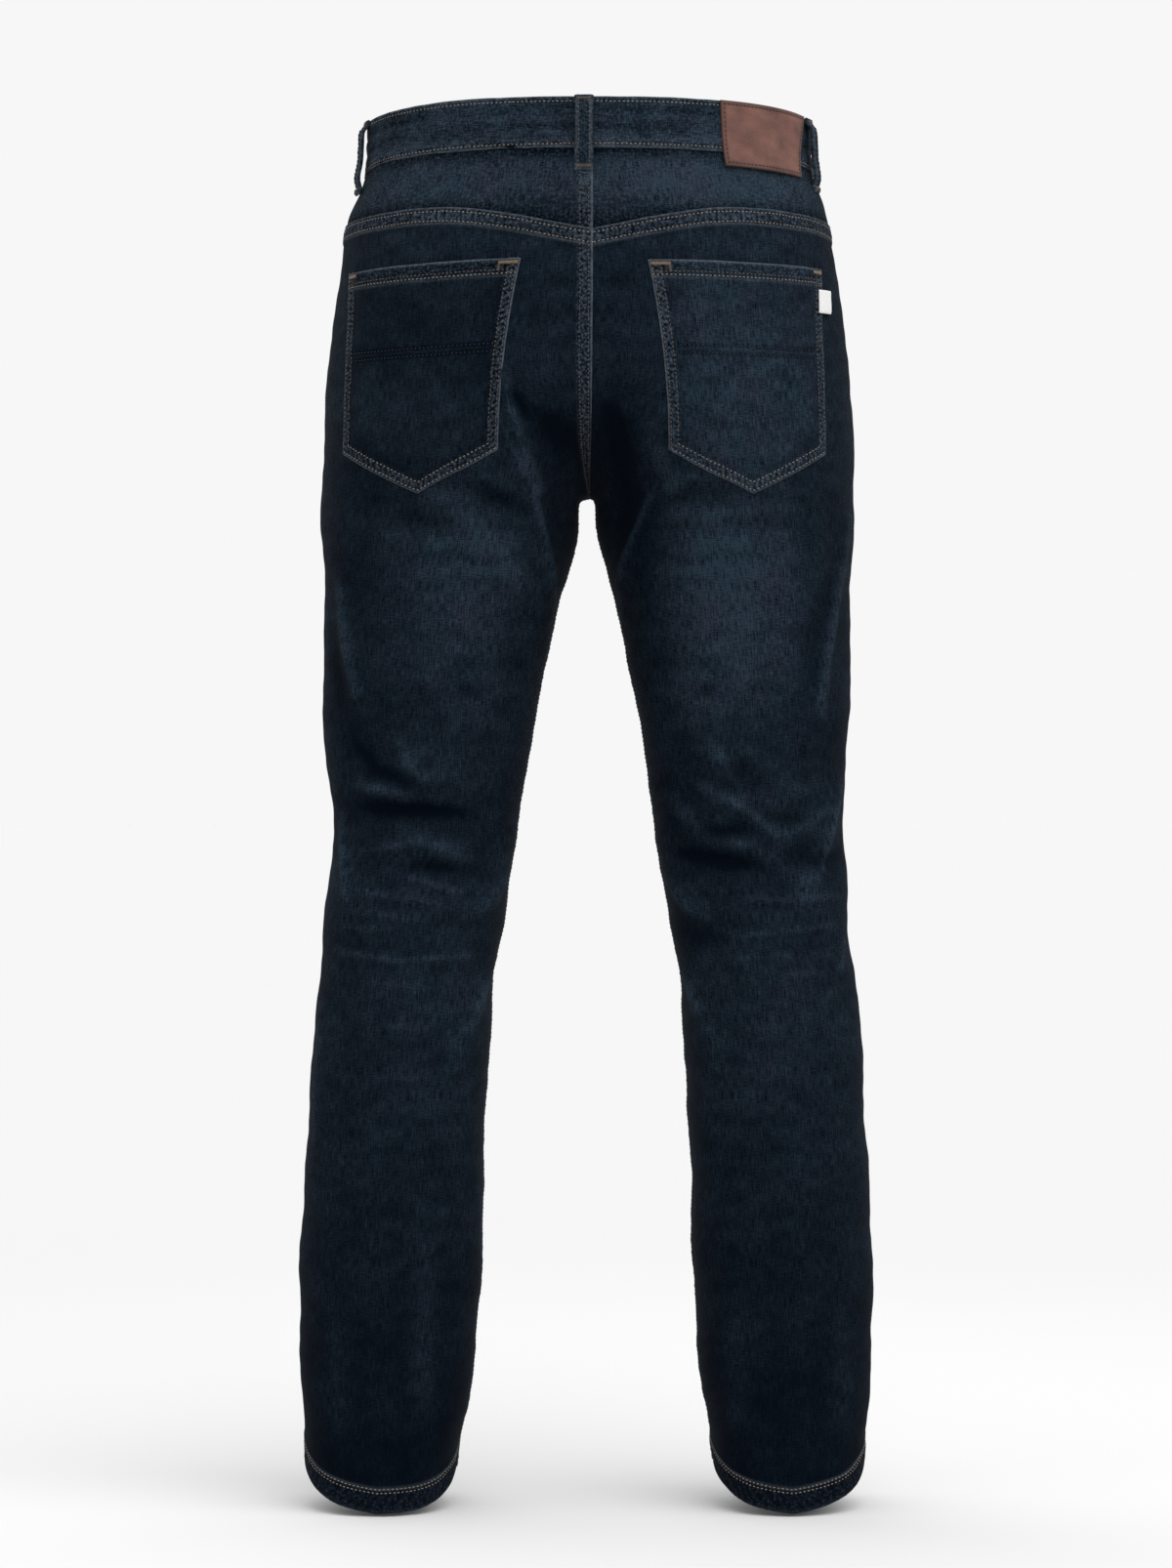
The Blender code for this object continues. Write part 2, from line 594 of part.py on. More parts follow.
def waist_button():
    """A turned shank button on the band's left end."""
    height = band_top(180) - BUTTON_DROP
    degrees = degrees_at_front(BUTTON_X, height)
    foot = BAND_PROUD + band_lap_rise(degrees) + 0.3
    seat = round_the_body(degrees, height, foot)
    out = (round_the_body(degrees, height, foot + 1) - seat).normalized()
    profile = bmesh.new()
    points = [profile.verts.new((point.radius * MM, 0, point.height * MM)) for point in BUTTON_PROFILE]
    for start, end in zip(points, points[1:]):
        profile.edges.new((start, end))
    mesh = bpy.data.meshes.new("waist_button")
    profile.to_mesh(mesh)
    profile.free()
    button = add_object("waist_button", mesh, "metal")
    turned = button.modifiers.new("turned", "SCREW")
    turned.steps = turned.render_steps = BUTTON_STEPS
    turned.use_merge_vertices = True
    turned.merge_threshold = 0.00001
    button.matrix_world = Matrix.Translation(seat * MM) @ out.to_track_quat("Z", "Y").to_matrix().to_4x4()


# ---------------------------------------------------------------- pockets
def pocket_point(pocket, across, up):
    """Angle and height in a pocket, across from its inner edge and up from its pointed bottom."""
    bow = POCKET_BOW * 4 * up * (1 - up) * pocket.side
    top_middle = [mix(a, b, 0.5) for a, b in zip(pocket.top_inner, pocket.top_outer)]
    inner_x = mix(pocket.bottom_inner[0], pocket.top_inner[0], up) + bow
    middle_x = mix(pocket.point[0], top_middle[0], up)
    outer_x = mix(pocket.bottom_outer[0], pocket.top_outer[0], up)
    if across < 0.5:
        low, part, start_x, end_x = (pocket.bottom_inner, pocket.point), across * 2, inner_x, middle_x
    else:
        low, part, start_x, end_x = (pocket.point, pocket.bottom_outer), across * 2 - 1, middle_x, outer_x
    height = mix(mix(low[0][1], low[1][1], part), mix(pocket.top_inner[1], pocket.top_outer[1], across), up)
    start = angle_at(pocket.side, start_x, height, BACK)
    end = angle_at(pocket.side, end_x, height, BACK)
    return mix(start, end, part), height


def back_pocket(name, pocket):
    def place(across, up, offset):
        angle, height = pocket_point(pocket, across, up)
        return surface(pocket.side, angle, height, LAY_GAP + POCKET_THICKNESS + offset)

    cloth(name, "denim", POCKET_COLUMNS, POCKET_ROWS, place, POCKET_THICKNESS)


def pocket_tab():
    """A folded label caught in the right pocket's outer edge, lying over it."""
    def place(across, up, offset):
        lie = LAY_GAP + POCKET_THICKNESS + 0.3 + TAB_THICKNESS
        return surface_at_x(mix(*TAB_X, across), mix(*TAB_HEIGHTS, up), BACK, lie + offset)

    cloth("pocket_tab", "label", 2, 2, place, TAB_THICKNESS)


def pocket_facing(name, side):
    """The cloth behind a front pocket's opening, in line with the last columns of the front panel before it."""
    def place(across, up, offset):
        part = closer_at_seams(mix(1 - FACING_COLUMNS / PANEL_COLUMNS[FRONT], 1, across))
        degrees = seam_degrees(FRONT, part, BAND_TOP_BACK - BAND_WIDTH)
        height = mix(scoop_edge(part) - FACING_HIDDEN, band_seam(degrees) - SEAM_HALF_GAP, up)
        return surface(side, panel_angle(side, FRONT, part, height), height, offset - DENIM - LAY_GAP)

    cloth(name, "denim", FACING_COLUMNS, FACING_ROWS, place, FACING_THICKNESS)


# ---------------------------------------------------------------- the fly's closing, behind the front panels
def fly_strip(name, finish, half_width, length, depth_at, columns, thickness):
    """A strip behind the centre front, hanging from the band's lower edge."""
    def place(across, up, offset):
        x = mix(-half_width, half_width, across)
        top = band_seam(180) - 2 * SEAM_HALF_GAP
        height = mix(top - length, top, up)
        return surface_at_x(x, height, FRONT, offset - depth_at(x))

    cloth(name, finish, columns, 6, place, thickness)


def zip_depth(x):
    """The tape lies behind the panels and sinks to the chain, which is thicker."""
    sunk = ZIP_SINK * ease(1.4 - abs(x) / ZIP_SINK_WIDTH)
    chain = ZIP_CHAIN_PROUD if abs(x) < ZIP_CHAIN_WIDTH else 0.0
    return DENIM + LAY_GAP + sunk - chain


def shield_depth(x):
    return DENIM + LAY_GAP + TAPE_THICKNESS + 0.5 + ZIP_SINK * ease(1.5 - abs(x) / (ZIP_SINK_WIDTH + 3))


def zip_slider():
    """The slider's face and its tab, laid flat and held down by the closed fly."""
    rows = 3
    body_width, body_height = SLIDER_BODY
    tab_width, tab_height = SLIDER_TAB
    top = band_seam(180) - SLIDER_TOP_DROP

    def place(across, up, offset):
        row = round(up * rows)
        drop = (body_height + tab_height, body_height + 1, body_height - 2, 0)[row]
        width = (tab_width, tab_width, body_width, body_width)[row]
        x = mix(-width / 2, width / 2, across)
        lie = DENIM + LAY_GAP
        return surface_at_x(x, top - drop, FRONT, offset - lie)

    cloth("zip_slider", "metal", 2, rows, place, SLIDER_THICKNESS)


def build():
    for side, word in ((LEFT, "left"), (RIGHT, "right")):
        panel("back_" + word, side, BACK)
        panel("front_" + word, side, FRONT)
        yoke("yoke_" + word, side)
        pocket_facing("pocket_facing_" + word, side)
    waistband()
    for name, degrees in LOOP_ANGLES.items():
        belt_loop(name, degrees)
    for name, pocket in POCKETS.items():
        back_pocket(name, pocket)
    pocket_tab()
    leather_patch()
    waist_button()
    fly_strip("zip", "tape", ZIP_HALF_WIDTH, ZIP_HEIGHT, zip_depth, 10, TAPE_THICKNESS)
    fly_strip("fly_shield", "denim", SHIELD_HALF_WIDTH, SHIELD_HEIGHT, shield_depth, 10, DENIM)
    zip_slider()


COLLECTION, ROOT = start_scene()
build()
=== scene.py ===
"""Straight leg jeans in dark indigo denim, hollow and filled out, seen from behind over a pale floor.

Sizes in the tables are in millimetres and heights are measured from the lowest point of the hems; they become metres
where a mesh is made. The seat faces -Y, the fly +Y and the wearer's right +X.
"""
import math
from collections import namedtuple

import bpy
import numpy as np
from bpy.props import FloatProperty, FloatVectorProperty, PointerProperty
from bpy.types import Operator, Panel, PropertyGroup
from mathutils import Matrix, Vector


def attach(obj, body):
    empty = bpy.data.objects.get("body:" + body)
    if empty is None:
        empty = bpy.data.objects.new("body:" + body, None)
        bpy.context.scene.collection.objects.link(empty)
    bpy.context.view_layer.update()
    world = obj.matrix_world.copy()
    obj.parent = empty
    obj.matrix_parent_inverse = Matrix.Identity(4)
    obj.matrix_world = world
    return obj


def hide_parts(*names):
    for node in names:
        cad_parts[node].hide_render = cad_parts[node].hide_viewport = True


bl_info = {
    "name": "Straight leg jeans",
    "version": (1, 0, 0),
    "blender": (4, 5, 0),
    "location": "3D View > Sidebar > Jeans",
    "description": "Makes denim jeans with their felled seams, stitching and trims",
    "category": "Object",
}

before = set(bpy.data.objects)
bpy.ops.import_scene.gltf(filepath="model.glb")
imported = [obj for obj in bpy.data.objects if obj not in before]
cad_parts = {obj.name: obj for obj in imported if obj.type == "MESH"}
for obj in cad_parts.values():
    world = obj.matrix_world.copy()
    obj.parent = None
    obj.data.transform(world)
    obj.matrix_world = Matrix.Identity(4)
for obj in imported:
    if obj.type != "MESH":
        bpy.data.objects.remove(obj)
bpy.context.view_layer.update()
MM = 0.001
LEFT, RIGHT = -1, 1
BACK, FRONT = -1, 1

# ---------------------------------------------------------------- sizes that the solids share
ORIGIN_HEIGHT = 1072.0
CROTCH_HEIGHT = 795.6
BAND_TOP_BACK, BAND_DIP, BAND_DIP_POWER = 1097.0, 20.0, 1.2
BAND_WIDTH, BAND_THICKNESS, BAND_PROUD, BAND_LAP = 38.0, 2.4, 0.9, 38.0
DENIM = 1.2
SEAM_HALF_GAP = 0.03
OUTSEAM_ANGLE = math.radians(8)
OVAL_POWER = 2.2
CROTCH_ARCH = {LEFT: 8.6, RIGHT: 3.9}
CROTCH_ARCH_RISE, CROTCH_ARCH_BLEND = 8.0, 3.0
HEM_LIFT, HEM_LIFT_REACH, HEM_LIFT_FADE = 30.0, 1.35, 160.0
HEM_SIDE_LIFT = {LEFT: (11.0, 2.0), RIGHT: (11.0, 8.0)}
YOKE_BACK, YOKE_PEAK, YOKE_SIDE, YOKE_PEAK_AT = 994.0, 1013.0, 1009.0, 0.42
BLEND_HEIGHT, FRONT_TOP = 868.0, 1052.0
SCOOP_START, SCOOP_DEPTH, SCOOP_POWER = 0.5, 72.0, 2.2
FACING_START, FACING_HIDDEN = 0.4, 14.0
FLY_BOTTOM, FLY_WIDTH, FLY_RAISE, FLY_LAP = 904.0, 38.0, 1.55, 2.0
ZIP_SINK, ZIP_SINK_WIDTH, ZIP_CHAIN_WIDTH, ZIP_CHAIN_PROUD = 3.6, 9.0, 2.6, 0.8
ZIP_SIZE, SHIELD_SIZE = (14.0, 138.0), (24.0, 150.0)                     # half the width, and the length
TEETH_PITCH, TEETH_SIZE, TEETH_LIFT = 1.45, (1.0, 3.6, 0.9), 0.35

# Cross-sections of the legs: how far their ovals reach outwards, inwards, to the back and to the front.
SECTION_FIELDS = ("height", "outer_left", "outer_right", "inner_left", "inner_right", "back", "front")
SECTIONS = (
    (1100, 175.5, 174.0, -175.5, -174.0, 113, 109),
    (1054, 177.5, 176.0, -177.5, -176.0, 117, 110),
    (1012, 192.0, 189.0, -192.0, -189.0, 124, 112),
    (958, 199.2, 197.6, -199.2, -197.6, 129, 113),
    (930, 203.4, 201.6, -198.0, -196.0, 131, 113),
    (896, 207.7, 205.4, -160.0, -158.0, 131, 112),
    (869, 209.5, 207.2, -108.0, -107.0, 129, 111),
    (842, 210.8, 208.5, -50.0, -49.0, 124, 109),
    (819, 211.8, 208.8, -17.0, -16.5, 117, 106),
    (CROTCH_HEIGHT, 212.6, 209.0, 0.0, 0.0, 108, 103),
    (772, 213.1, 209.3, 6.5, 4.2, 99, 99),
    (726, 210.8, 206.9, 20.9, 17.1, 88, 96),
    (679, 210.8, 206.2, 31.8, 27.9, 81, 92),
    (633, 211.6, 206.9, 41.9, 37.2, 76, 88),
    (586, 209.3, 203.1, 49.6, 45.0, 70, 83),
    (540, 203.0, 200.2, 56.6, 51.2, 65, 79),
    (493, 206.9, 203.6, 63.6, 58.1, 63, 75),
    (447, 212.4, 205.2, 71.3, 65.9, 64, 71),
    (416, 214.5, 210.6, 76.7, 71.3, 66, 69),
    (354, 220.5, 216.4, 80.6, 75.2, 69, 66),
    (307, 222.2, 217.8, 83.7, 78.3, 70, 64),
    (261, 225.5, 221.7, 84.5, 80.6, 69, 63),
    (214, 229.0, 223.4, 85.3, 81.4, 68, 63),
    (152, 230.4, 224.2, 89.1, 84.5, 66, 63),
    (90, 229.2, 221.9, 94.6, 89.1, 64, 65),
    (44, 225.6, 217.6, 104.4, 97.4, 64, 67),
    (0, 224.0, 215.0, 109.0, 102.0, 64, 69),
)

# Soft folds, the same as the solids': (width, depth, line), a ridge where depth is over 0 and a trough where it is
# under 0. The points of a line are (x, height) and stay on one leg.
FOLDS = {
    BACK: (
        (12, -5.0, ((-186, 548), (-100, 545))),
        (12, -4.0, ((-192, 617), (-144, 571))),
        (14, 3.0, ((-156, 590), (-100, 570))),
        (11, -2.8, ((-160, 503), (-100, 500))),
        (16, 2.0, ((-192, 470), (-110, 478))),
        (9, 3.6, ((-60, 514), (-84, 470))),
        (10, 3.0, ((-76, 425), (-95, 378))),
        (13, 2.6, ((-204, 708), (-184, 648))),
        (11, 3.0, ((-199, 528), (-190, 474))),
        (15, 3.4, ((-69, 849), (-44, 774))),
        (14, 2.6, ((-44, 774), (-29, 707))),
        (15, -4.0, ((-55, 850), (-11, 818))),
        (11, -3.0, ((-170, 788), (-130, 772))),
        (12, 2.0, ((-173, 770), (-134, 752))),
        (12, -4.0, ((68, 512), (131, 508))),
        (10, -3.2, ((114, 536), (162, 532))),
        (14, 2.4, ((120, 556), (178, 560))),
        (9, 3.4, ((52, 511), (89, 463))),
        (10, 3.0, ((70, 428), (93, 371))),
        (13, 2.4, ((186, 690), (184, 624))),
        (11, 3.0, ((195, 559), (175, 498))),
        (8, 2.0, ((37, 776), (24, 724))),
        (18, -5.0, ((18, 838), (30, 762))),
        (9, -2.5, ((84, 793), (103, 787))),
        (9, -1.6, ((106, 450), (190, 447))),
    ),
    FRONT: (
        (11, -3.4, ((-14, 832), (-96, 862))),
        (12, -3.8, ((-20, 806), (-104, 812))),
        (11, -2.8, ((-26, 776), (-90, 752))),
        (9, 2.2, ((-24, 792), (-84, 786))),
        (12, -3.2, ((-70, 560), (-150, 532))),
        (11, -2.8, ((-84, 508), (-170, 520))),
        (12, -2.4, ((-88, 470), (-150, 452))),
        (16, 2.6, ((-150, 180), (-176, 90))),
        (12, -3.6, ((14, 826), (104, 856))),
        (11, -3.2, ((18, 800), (92, 804))),
        (12, -3.0, ((28, 770), (98, 742))),
        (9, 2.0, ((26, 786), (80, 778))),
        (12, -3.0, ((64, 548), (140, 556))),
        (11, -3.4, ((76, 520), (158, 500))),
        (12, -2.2, ((86, 462), (140, 448))),
        (16, 2.4, ((146, 200), (168, 100))),
    ),
}

# Finer creases of the same form, which only the finished cloth has.
CREASE_DEPTH = 1.5
CREASE_REACH = 30.0                    # a back pocket holds creases flat only from this much further out than folds
CREASES = {
    BACK: (
        # left leg
        (2.8, 1.9, ((-69, 849), (-56, 819), (-45, 796), (-38, 765), (-31, 735), (-29, 715), (-33, 683))),
        (9.0, -2.4, ((-94, 794), (-54, 784))),
        (12.0, 2.0, ((-109, 785), (-73, 752), (-57, 727))),
        (8.0, -2.0, ((-148, 773), (-101, 770))),
        (4.0, 2.1, ((-196, 725), (-190, 687), (-182, 639))),
        (6.0, -1.6, ((-201, 691), (-195, 631))),
        (6.0, -2.2, ((-186, 600), (-168, 579), (-139, 568))),
        (5.0, 1.7, ((-148, 600), (-134, 571))),
        (5.0, 2.2, ((-178, 567), (-143, 559))),
        (5.0, -2.3, ((-176, 550), (-140, 548), (-99, 545))),
        (9.0, 1.7, ((-143, 525), (-101, 513))),
        (5.0, -1.6, ((-137, 505), (-101, 502))),
        (2.6, 1.6, ((-195, 545), (-194, 522), (-190, 496), (-188, 477))),
        (3.0, 1.0, ((-176, 516), (-134, 522))),
        (3.0, 1.4, ((-151, 498), (-127, 492), (-102, 484))),
        (2.6, 0.9, ((-186, 486), (-150, 480), (-118, 475))),
        (2.6, 0.8, ((-180, 468), (-130, 461))),
        (3.0, 1.0, ((-190, 456), (-153, 454))),
        (2.6, 1.3, ((-199, 438), (-151, 430), (-94, 434))),
        (2.6, 0.6, ((-172, 412), (-118, 408))),
        (2.6, 0.7, ((-162, 379), (-142, 380))),
        (2.6, 0.6, ((-166, 339), (-120, 338))),
        (4.0, 2.1, ((-63, 501), (-80, 474))),
        (2.8, 2.2, ((-75, 426), (-85, 403), (-93, 381))),
        (3.0, 1.2, ((-213, 395), (-215, 340), (-216, 285))),
        (3.0, 1.0, ((-88, 268), (-86, 200))),
        (9.0, 0.6, ((-199, 137), (-196, 69))),
        (9.0, 0.7, ((-127, 210), (-130, 69))),
        (4.0, 2.2, ((-69, 890), (-62, 862), (-52, 830), (-40, 796))),
        (7.0, -2.4, ((-60, 868), (-48, 850))),
        (9.0, -1.6, ((-36, 850), (-14, 836))),
        (7.0, -1.0, ((-120, 640), (-160, 622))),
        (6.0, 0.8, ((-70, 640), (-110, 610))),
        (3.0, -0.8, ((-52, 1056), (-16, 1050))),
        # right leg
        (2.8, 1.8, ((46, 792), (40, 779), (33, 761), (27, 743), (23, 723), (26, 700))),
        (7.0, -2.5, ((70, 787), (96, 790), (122, 792))),
        (7.0, -2.1, ((108, 768), (150, 768))),
        (10.0, 1.2, ((70, 776), (110, 780))),
        (3.4, 2.3, ((203, 778), (199, 735), (189, 700), (182, 662), (179, 622))),
        (8.0, -1.4, ((188, 730), (177, 696), (170, 660), (168, 628))),
        (6.0, 1.9, ((95, 598), (107, 580))),
        (6.0, -1.9, ((111, 580), (129, 570))),
        (6.0, 1.5, ((64, 559), (84, 535))),
        (5.0, 2.2, ((89, 565), (120, 548), (145, 529), (164, 531), (184, 547))),
        (5.0, -2.0, ((88, 534), (104, 530), (120, 533))),
        (7.0, -1.8, ((158, 512), (178, 508), (198, 512))),
        (6.0, 1.8, ((107, 525), (139, 513))),
        (6.0, -2.5, ((72, 513), (100, 508), (127, 505))),
        (2.6, 1.7, ((196, 570), (193, 556), (186, 525), (180, 502))),
        (3.5, 2.0, ((61, 496), (78, 470))),
        (3.0, 1.2, ((121, 479), (160, 476), (196, 480))),
        (8.0, -1.8, ((71, 451), (111, 446))),
        (3.0, 1.3, ((107, 450), (135, 451), (190, 457))),
        (2.6, 0.8, ((118, 432), (158, 435))),
        (2.6, 1.0, ((150, 419), (181, 420))),
        (2.6, 0.7, ((143, 396), (162, 397))),
        (2.8, 2.0, ((71, 426), (80, 404), (87, 387))),
        (3.0, 1.3, ((200, 448), (196, 422))),
        (9.0, 1.5, ((170, 507), (172, 476))),
        (8.0, 0.7, ((113, 170), (116, 69))),
        (9.0, 0.6, ((198, 150), (195, 70))),
        (7.0, -1.6, ((14, 862), (24, 820))),
        (6.0, 1.2, ((44, 842), (58, 812), (66, 788))),
        (7.0, 0.8, ((60, 640), (96, 622))),
    ),
    FRONT: (
        # left leg
        (5.0, 1.3, ((-34, 900), (-80, 918), (-128, 940))),
        (6.0, -1.5, ((-30, 884), (-82, 898), (-132, 918))),
        (5.0, 1.3, ((-24, 862), (-80, 872), (-134, 890))),
        (4.0, 1.4, ((-18, 822), (-60, 838), (-104, 850))),
        (4.0, -1.3, ((-22, 806), (-62, 810), (-108, 812))),
        (4.0, 1.2, ((-30, 780), (-66, 768), (-96, 752))),
        (5.0, 1.2, ((-76, 536), (-120, 526), (-164, 530))),
        (4.0, -1.2, ((-84, 500), (-124, 492), (-160, 496))),
        (3.0, 0.8, ((-92, 470), (-126, 462), (-158, 464))),
        (8.0, 1.4, ((-128, 150), (-132, 76))),
        # right leg
        (5.0, 1.3, ((40, 898), (84, 914), (130, 938))),
        (6.0, -1.5, ((34, 880), (84, 892), (134, 912))),
        (5.0, 1.2, ((26, 858), (80, 866), (132, 884))),
        (4.0, 1.4, ((18, 814), (62, 828), (100, 846))),
        (4.0, -1.3, ((20, 800), (60, 802), (96, 806))),
        (4.0, 1.2, ((30, 776), (64, 762), (96, 744))),
        (5.0, 1.2, ((70, 532), (112, 540), (156, 534))),
        (4.0, -1.2, ((78, 506), (118, 496), (160, 500))),
        (3.0, 0.8, ((88, 474), (122, 466), (150, 470))),
        (8.0, 1.4, ((130, 150), (136, 80))),
    ),
}
CLOTH_WAVES = ((110, 0.45), (74, 0.4), (46, 0.3), (31, 0.2), (21, 0.12), (15, 0.07))     # (length, size)
FACE_BLEND, POCKET_BLEND = 1.6, 3.0    # how fast a face's folds, or a pocket's hold, fade out round the side
POCKET_CALM = 0.8                      # how much of the creases and waves a back pocket takes out

# Soft spots where the dye has washed out, and under 0 painted shade in the crotch, between the legs and down their
# sides: (x, height, reach across, reach up, strength).
FADES_AND_SHADES = {
    BACK: (
        (-102, 734, 44, 74, 0.36),
        (-118, 640, 60, 70, 0.06),
        # painted shade down the left leg's outer side
        (-188, 690, 16, 120, -0.07),
        (-196, 930, 20, 90, 0.05),
        # painted shade in the crotch
        (0, 828, 30, 52, -0.07),
        (112, 728, 46, 84, 0.62),
        # painted shade down the right leg's outer side
        (192, 640, 14, 120, -0.10),
        (120, 650, 60, 70, 0.08),
        (-128, 395, 44, 80, 0.08),
        (148, 392, 44, 80, 0.11),
        # painted shade between the thighs and inside the right knee
        (36, 740, 26, 110, -0.12),
        (-30, 740, 16, 90, -0.08),
        (70, 560, 22, 60, -0.05),
        (95, 385, 22, 90, 0.07),
        (-96, 385, 22, 90, 0.07),
        (-120, 1034, 100, 20, 0.54),
        (100, 1034, 100, 20, 0.84),
        (-120, 985, 90, 14, 0.10),
        (110, 985, 90, 14, 0.14),
        (112, 895, 60, 75, 0.20),
        (-30, 900, 26, 60, 0.05),
    ),
    FRONT: (
        (-120, 720, 48, 150, 0.50),
        (120, 720, 48, 150, 0.50),
        (-134, 500, 44, 60, 0.24),
        (134, 500, 44, 60, 0.24),
    ),
}
FADE_BASE, FADE_LOW, LOW_FADE_TOP = 0.18, 0.145, 330.0
RIDGE_WEAR_AND_HIGHLIGHT, TROUGH_SHADE = 0.12, 0.06   # paler for each millimetre up, from wear and a painted highlight; darker for each down, painted shade
FADE_WAVES = ((95, 0.02), (38, 0.015), (17, 0.01))
FOLD_TONE_SHARE = 0.3                        # how much of a fold's lift the paler ridges and the painted trough shade follow
PLAIN_FADE, FACING_FADE = 0.25, 0.2

# ---------------------------------------------------------------- small pieces
Pocket = namedtuple("Pocket", "side top_inner top_outer bottom_outer point bottom_inner")
POCKETS = {
    "back_pocket_left": Pocket(LEFT, (-53.2, 971.4), (-187.4, 967.1), (-191.4, 825.1), (-132.9, 792.8),
                               (-71.1, 825.8)),
    "back_pocket_right": Pocket(RIGHT, (44.5, 970.0), (179.5, 969.6), (182.2, 824.2), (125.8, 792.8),
                                (60.8, 825.8)),
}
POCKET_BOW, POCKET_THICKNESS, POCKET_LIE = 3.6, 1.5, 0.15
POCKET_INNER, POCKET_OUTER, POCKET_MOUTH = 46.0, 200.0, 976.0
POCKET_MIDDLE, POCKET_POINT_HEIGHT, POCKET_BOTTOM_SLOPE, POCKET_HOLD_FADE = 130.0, 788.0, 0.5, 14.0
POCKET_ROWS_SEWN = (2.2, 8.2)          # the double row, in from the pocket's edge
POCKET_HEM_ROWS = (8.6, 11.4)
POCKET_PLAIN_ROWS = (66.0, 72.0)       # two straight rows across, down from the mouth
POCKET_WAVES = ((110, 0.25), (46, 0.16), (31, 0.1), (15, 0.06))

TAB_X, TAB_HEIGHTS, TAB_THICKNESS = (176.5, 185.4), (935.0, 953.2), 1.0

LOOP_ANGLES = {
    "belt_loop_back": -1.2,
    "belt_loop_side_left": -80.0,
    "belt_loop_side_right": 76.0,
    "belt_loop_front_left": -141.0,
    "belt_loop_front_right": 141.0,
}
LOOP_WIDTH, LOOP_THICKNESS, LOOP_SINK = 13.0, 2.4, 0.5
# A loop's path from its foot up: heights above the band's lower edge, and how far off the band it stands there.
LOOP_HEIGHTS = (-19.0, -15.0, -11.5, -8.0, -3.0, 4.0, 16.0, 27.5, 31.0, 33.5, 35.5, 38.5)
LOOP_STAND = (-0.2, 0.1, 2.2, 4.2, 5.4, 5.4, 5.7, 5.4, 4.2, 2.2, 0.6, 0.6)

PATCH_ANGLES_TOP, PATCH_ANGLES_BOTTOM = (32.8, 70.9), (33.6, 64.6)
PATCH_HEIGHT, PATCH_THICKNESS, PATCH_LIE, PATCH_SEWN = 51.0, 1.8, 0.6, 2.6

# ---------------------------------------------------------------- seams and grids
# A felled seam's width, the rise of its folded edge, its rows of stitches, its puckers' seed, how worn the fold is and
# how far that reaches, how worn the step beside it is, and how much its puckers' tops are rubbed.
Fell = namedtuple("Fell", "width rise rows seed fold_worn fold_reach step_worn rub")
YOKE_FELL = Fell(12.6, 1.0, (3.0, 10.6), 2, 0.6, 0.9, 0.45, 1)
CENTRE_FELL = Fell(11.4, 0.9, (2.6, 9.4), 5, 0.9, 0.9, 0.08, 1)
SCOOP_FELL = Fell(10.5, 0.5, (2.4, 8.2), 4, 0.6, 1.3, 0.0, 0)
INSEAM_FELL = Fell(8.6, 0.7, (1.9, 7.2), 6, 0.5, 1.3, 0.0, 0)
CENTRE_LAP, CENTRE_TUCK_AT = 1.6, 0.6
HEM_FOLD, HEM_PROUD, HEM_ROWS, HEM_ROPING = 18.6, 0.9, (15.2, 18.0), 0.22
BAND_ROWS_SEWN = (2.4, 35.6)           # up from the band's lower edge
BAND_WAVES = ((120, 0.35), (64, 0.28), (33, 0.2), (18, 0.1))
BAND_RIPPLES = ((9.0, 0.5, 31), (16.5, -0.55, 47), (22.0, 0.45, 39), (29.0, -0.5, 55))     # (height, size, wander)
FLY_ROW_GAP, FLY_CURVE_DROP, FLY_STRAIGHT = 6.0, 12.0, 0.72
FELL_SOFTNESS = 2.4
TUCK_DEPTH, TUCK_WIDTH = 0.75, 1.5
GROOVE_DEPTH, GROOVE_WIDTH = 0.32, 0.9
PUCKER, PUCKER_PITCH = 0.42, 5.0
PANEL_GRID = {BACK: (156, 480), FRONT: (104, 400)}
YOKE_GRID, BAND_GRID, POCKET_GRID = (150, 44), (560, 26), (92, 104)
LOOP_GRID, PATCH_GRID, FACING_GRID = (16, 76), (60, 40), (40, 40)
TAB_GRID, STRIP_GRID = (16, 28), (44, 60)
STITCH_LIFT = 0.12

# Each cut piece's flat width, length and area as it shows, in metres and square metres.
Cut = namedtuple("Cut", "width length area")

Cloth = namedtuple("Cloth", "outer out across across_far up down")       # what a piece hands on to the sewing
Row = namedtuple("Row", "points out")
THREADS = {"topstitch": "tan_thread", "sunken": "dull_thread", "bartack": "gold_thread",
           "loop_bartack": "dull_thread", "dark": "dark_thread", "leather": "brown_thread"}
SEWN = {kind: [] for kind in THREADS}


# ---------------------------------------------------------------- small helpers
def clamp(value, low=0.0, high=1.0):
    return np.clip(value, low, high)


def ease(value):
    value = clamp(value)
    return value * value * (3 - 2 * value)


def mix(start, end, part):
    return start + (end - start) * part


def signed_power(value, power):
    return np.sign(value) * np.abs(value) ** power


def smooth_values(knots, values, at):
    """Values between knots, by cubic pieces with the neighbours' slopes."""
    knots, values = np.asarray(knots, float), np.asarray(values, float)
    low = np.maximum(np.arange(len(knots)) - 1, 0)
    high = np.minimum(np.arange(len(knots)) + 1, len(knots) - 1)
    slopes = (values[high] - values[low]) / (knots[high] - knots[low])
    at = np.clip(at, knots[0], knots[-1])
    i = np.clip(np.searchsorted(knots, at, side="left") - 1, 0, len(knots) - 2)
    span = knots[i + 1] - knots[i]
    t = (at - knots[i]) / span
    return (values[i] * (1 + 2 * t) * (1 - t) ** 2 + slopes[i] * span * t * (1 - t) ** 2
            + values[i + 1] * t * t * (3 - 2 * t) + slopes[i + 1] * span * t * t * (t - 1))


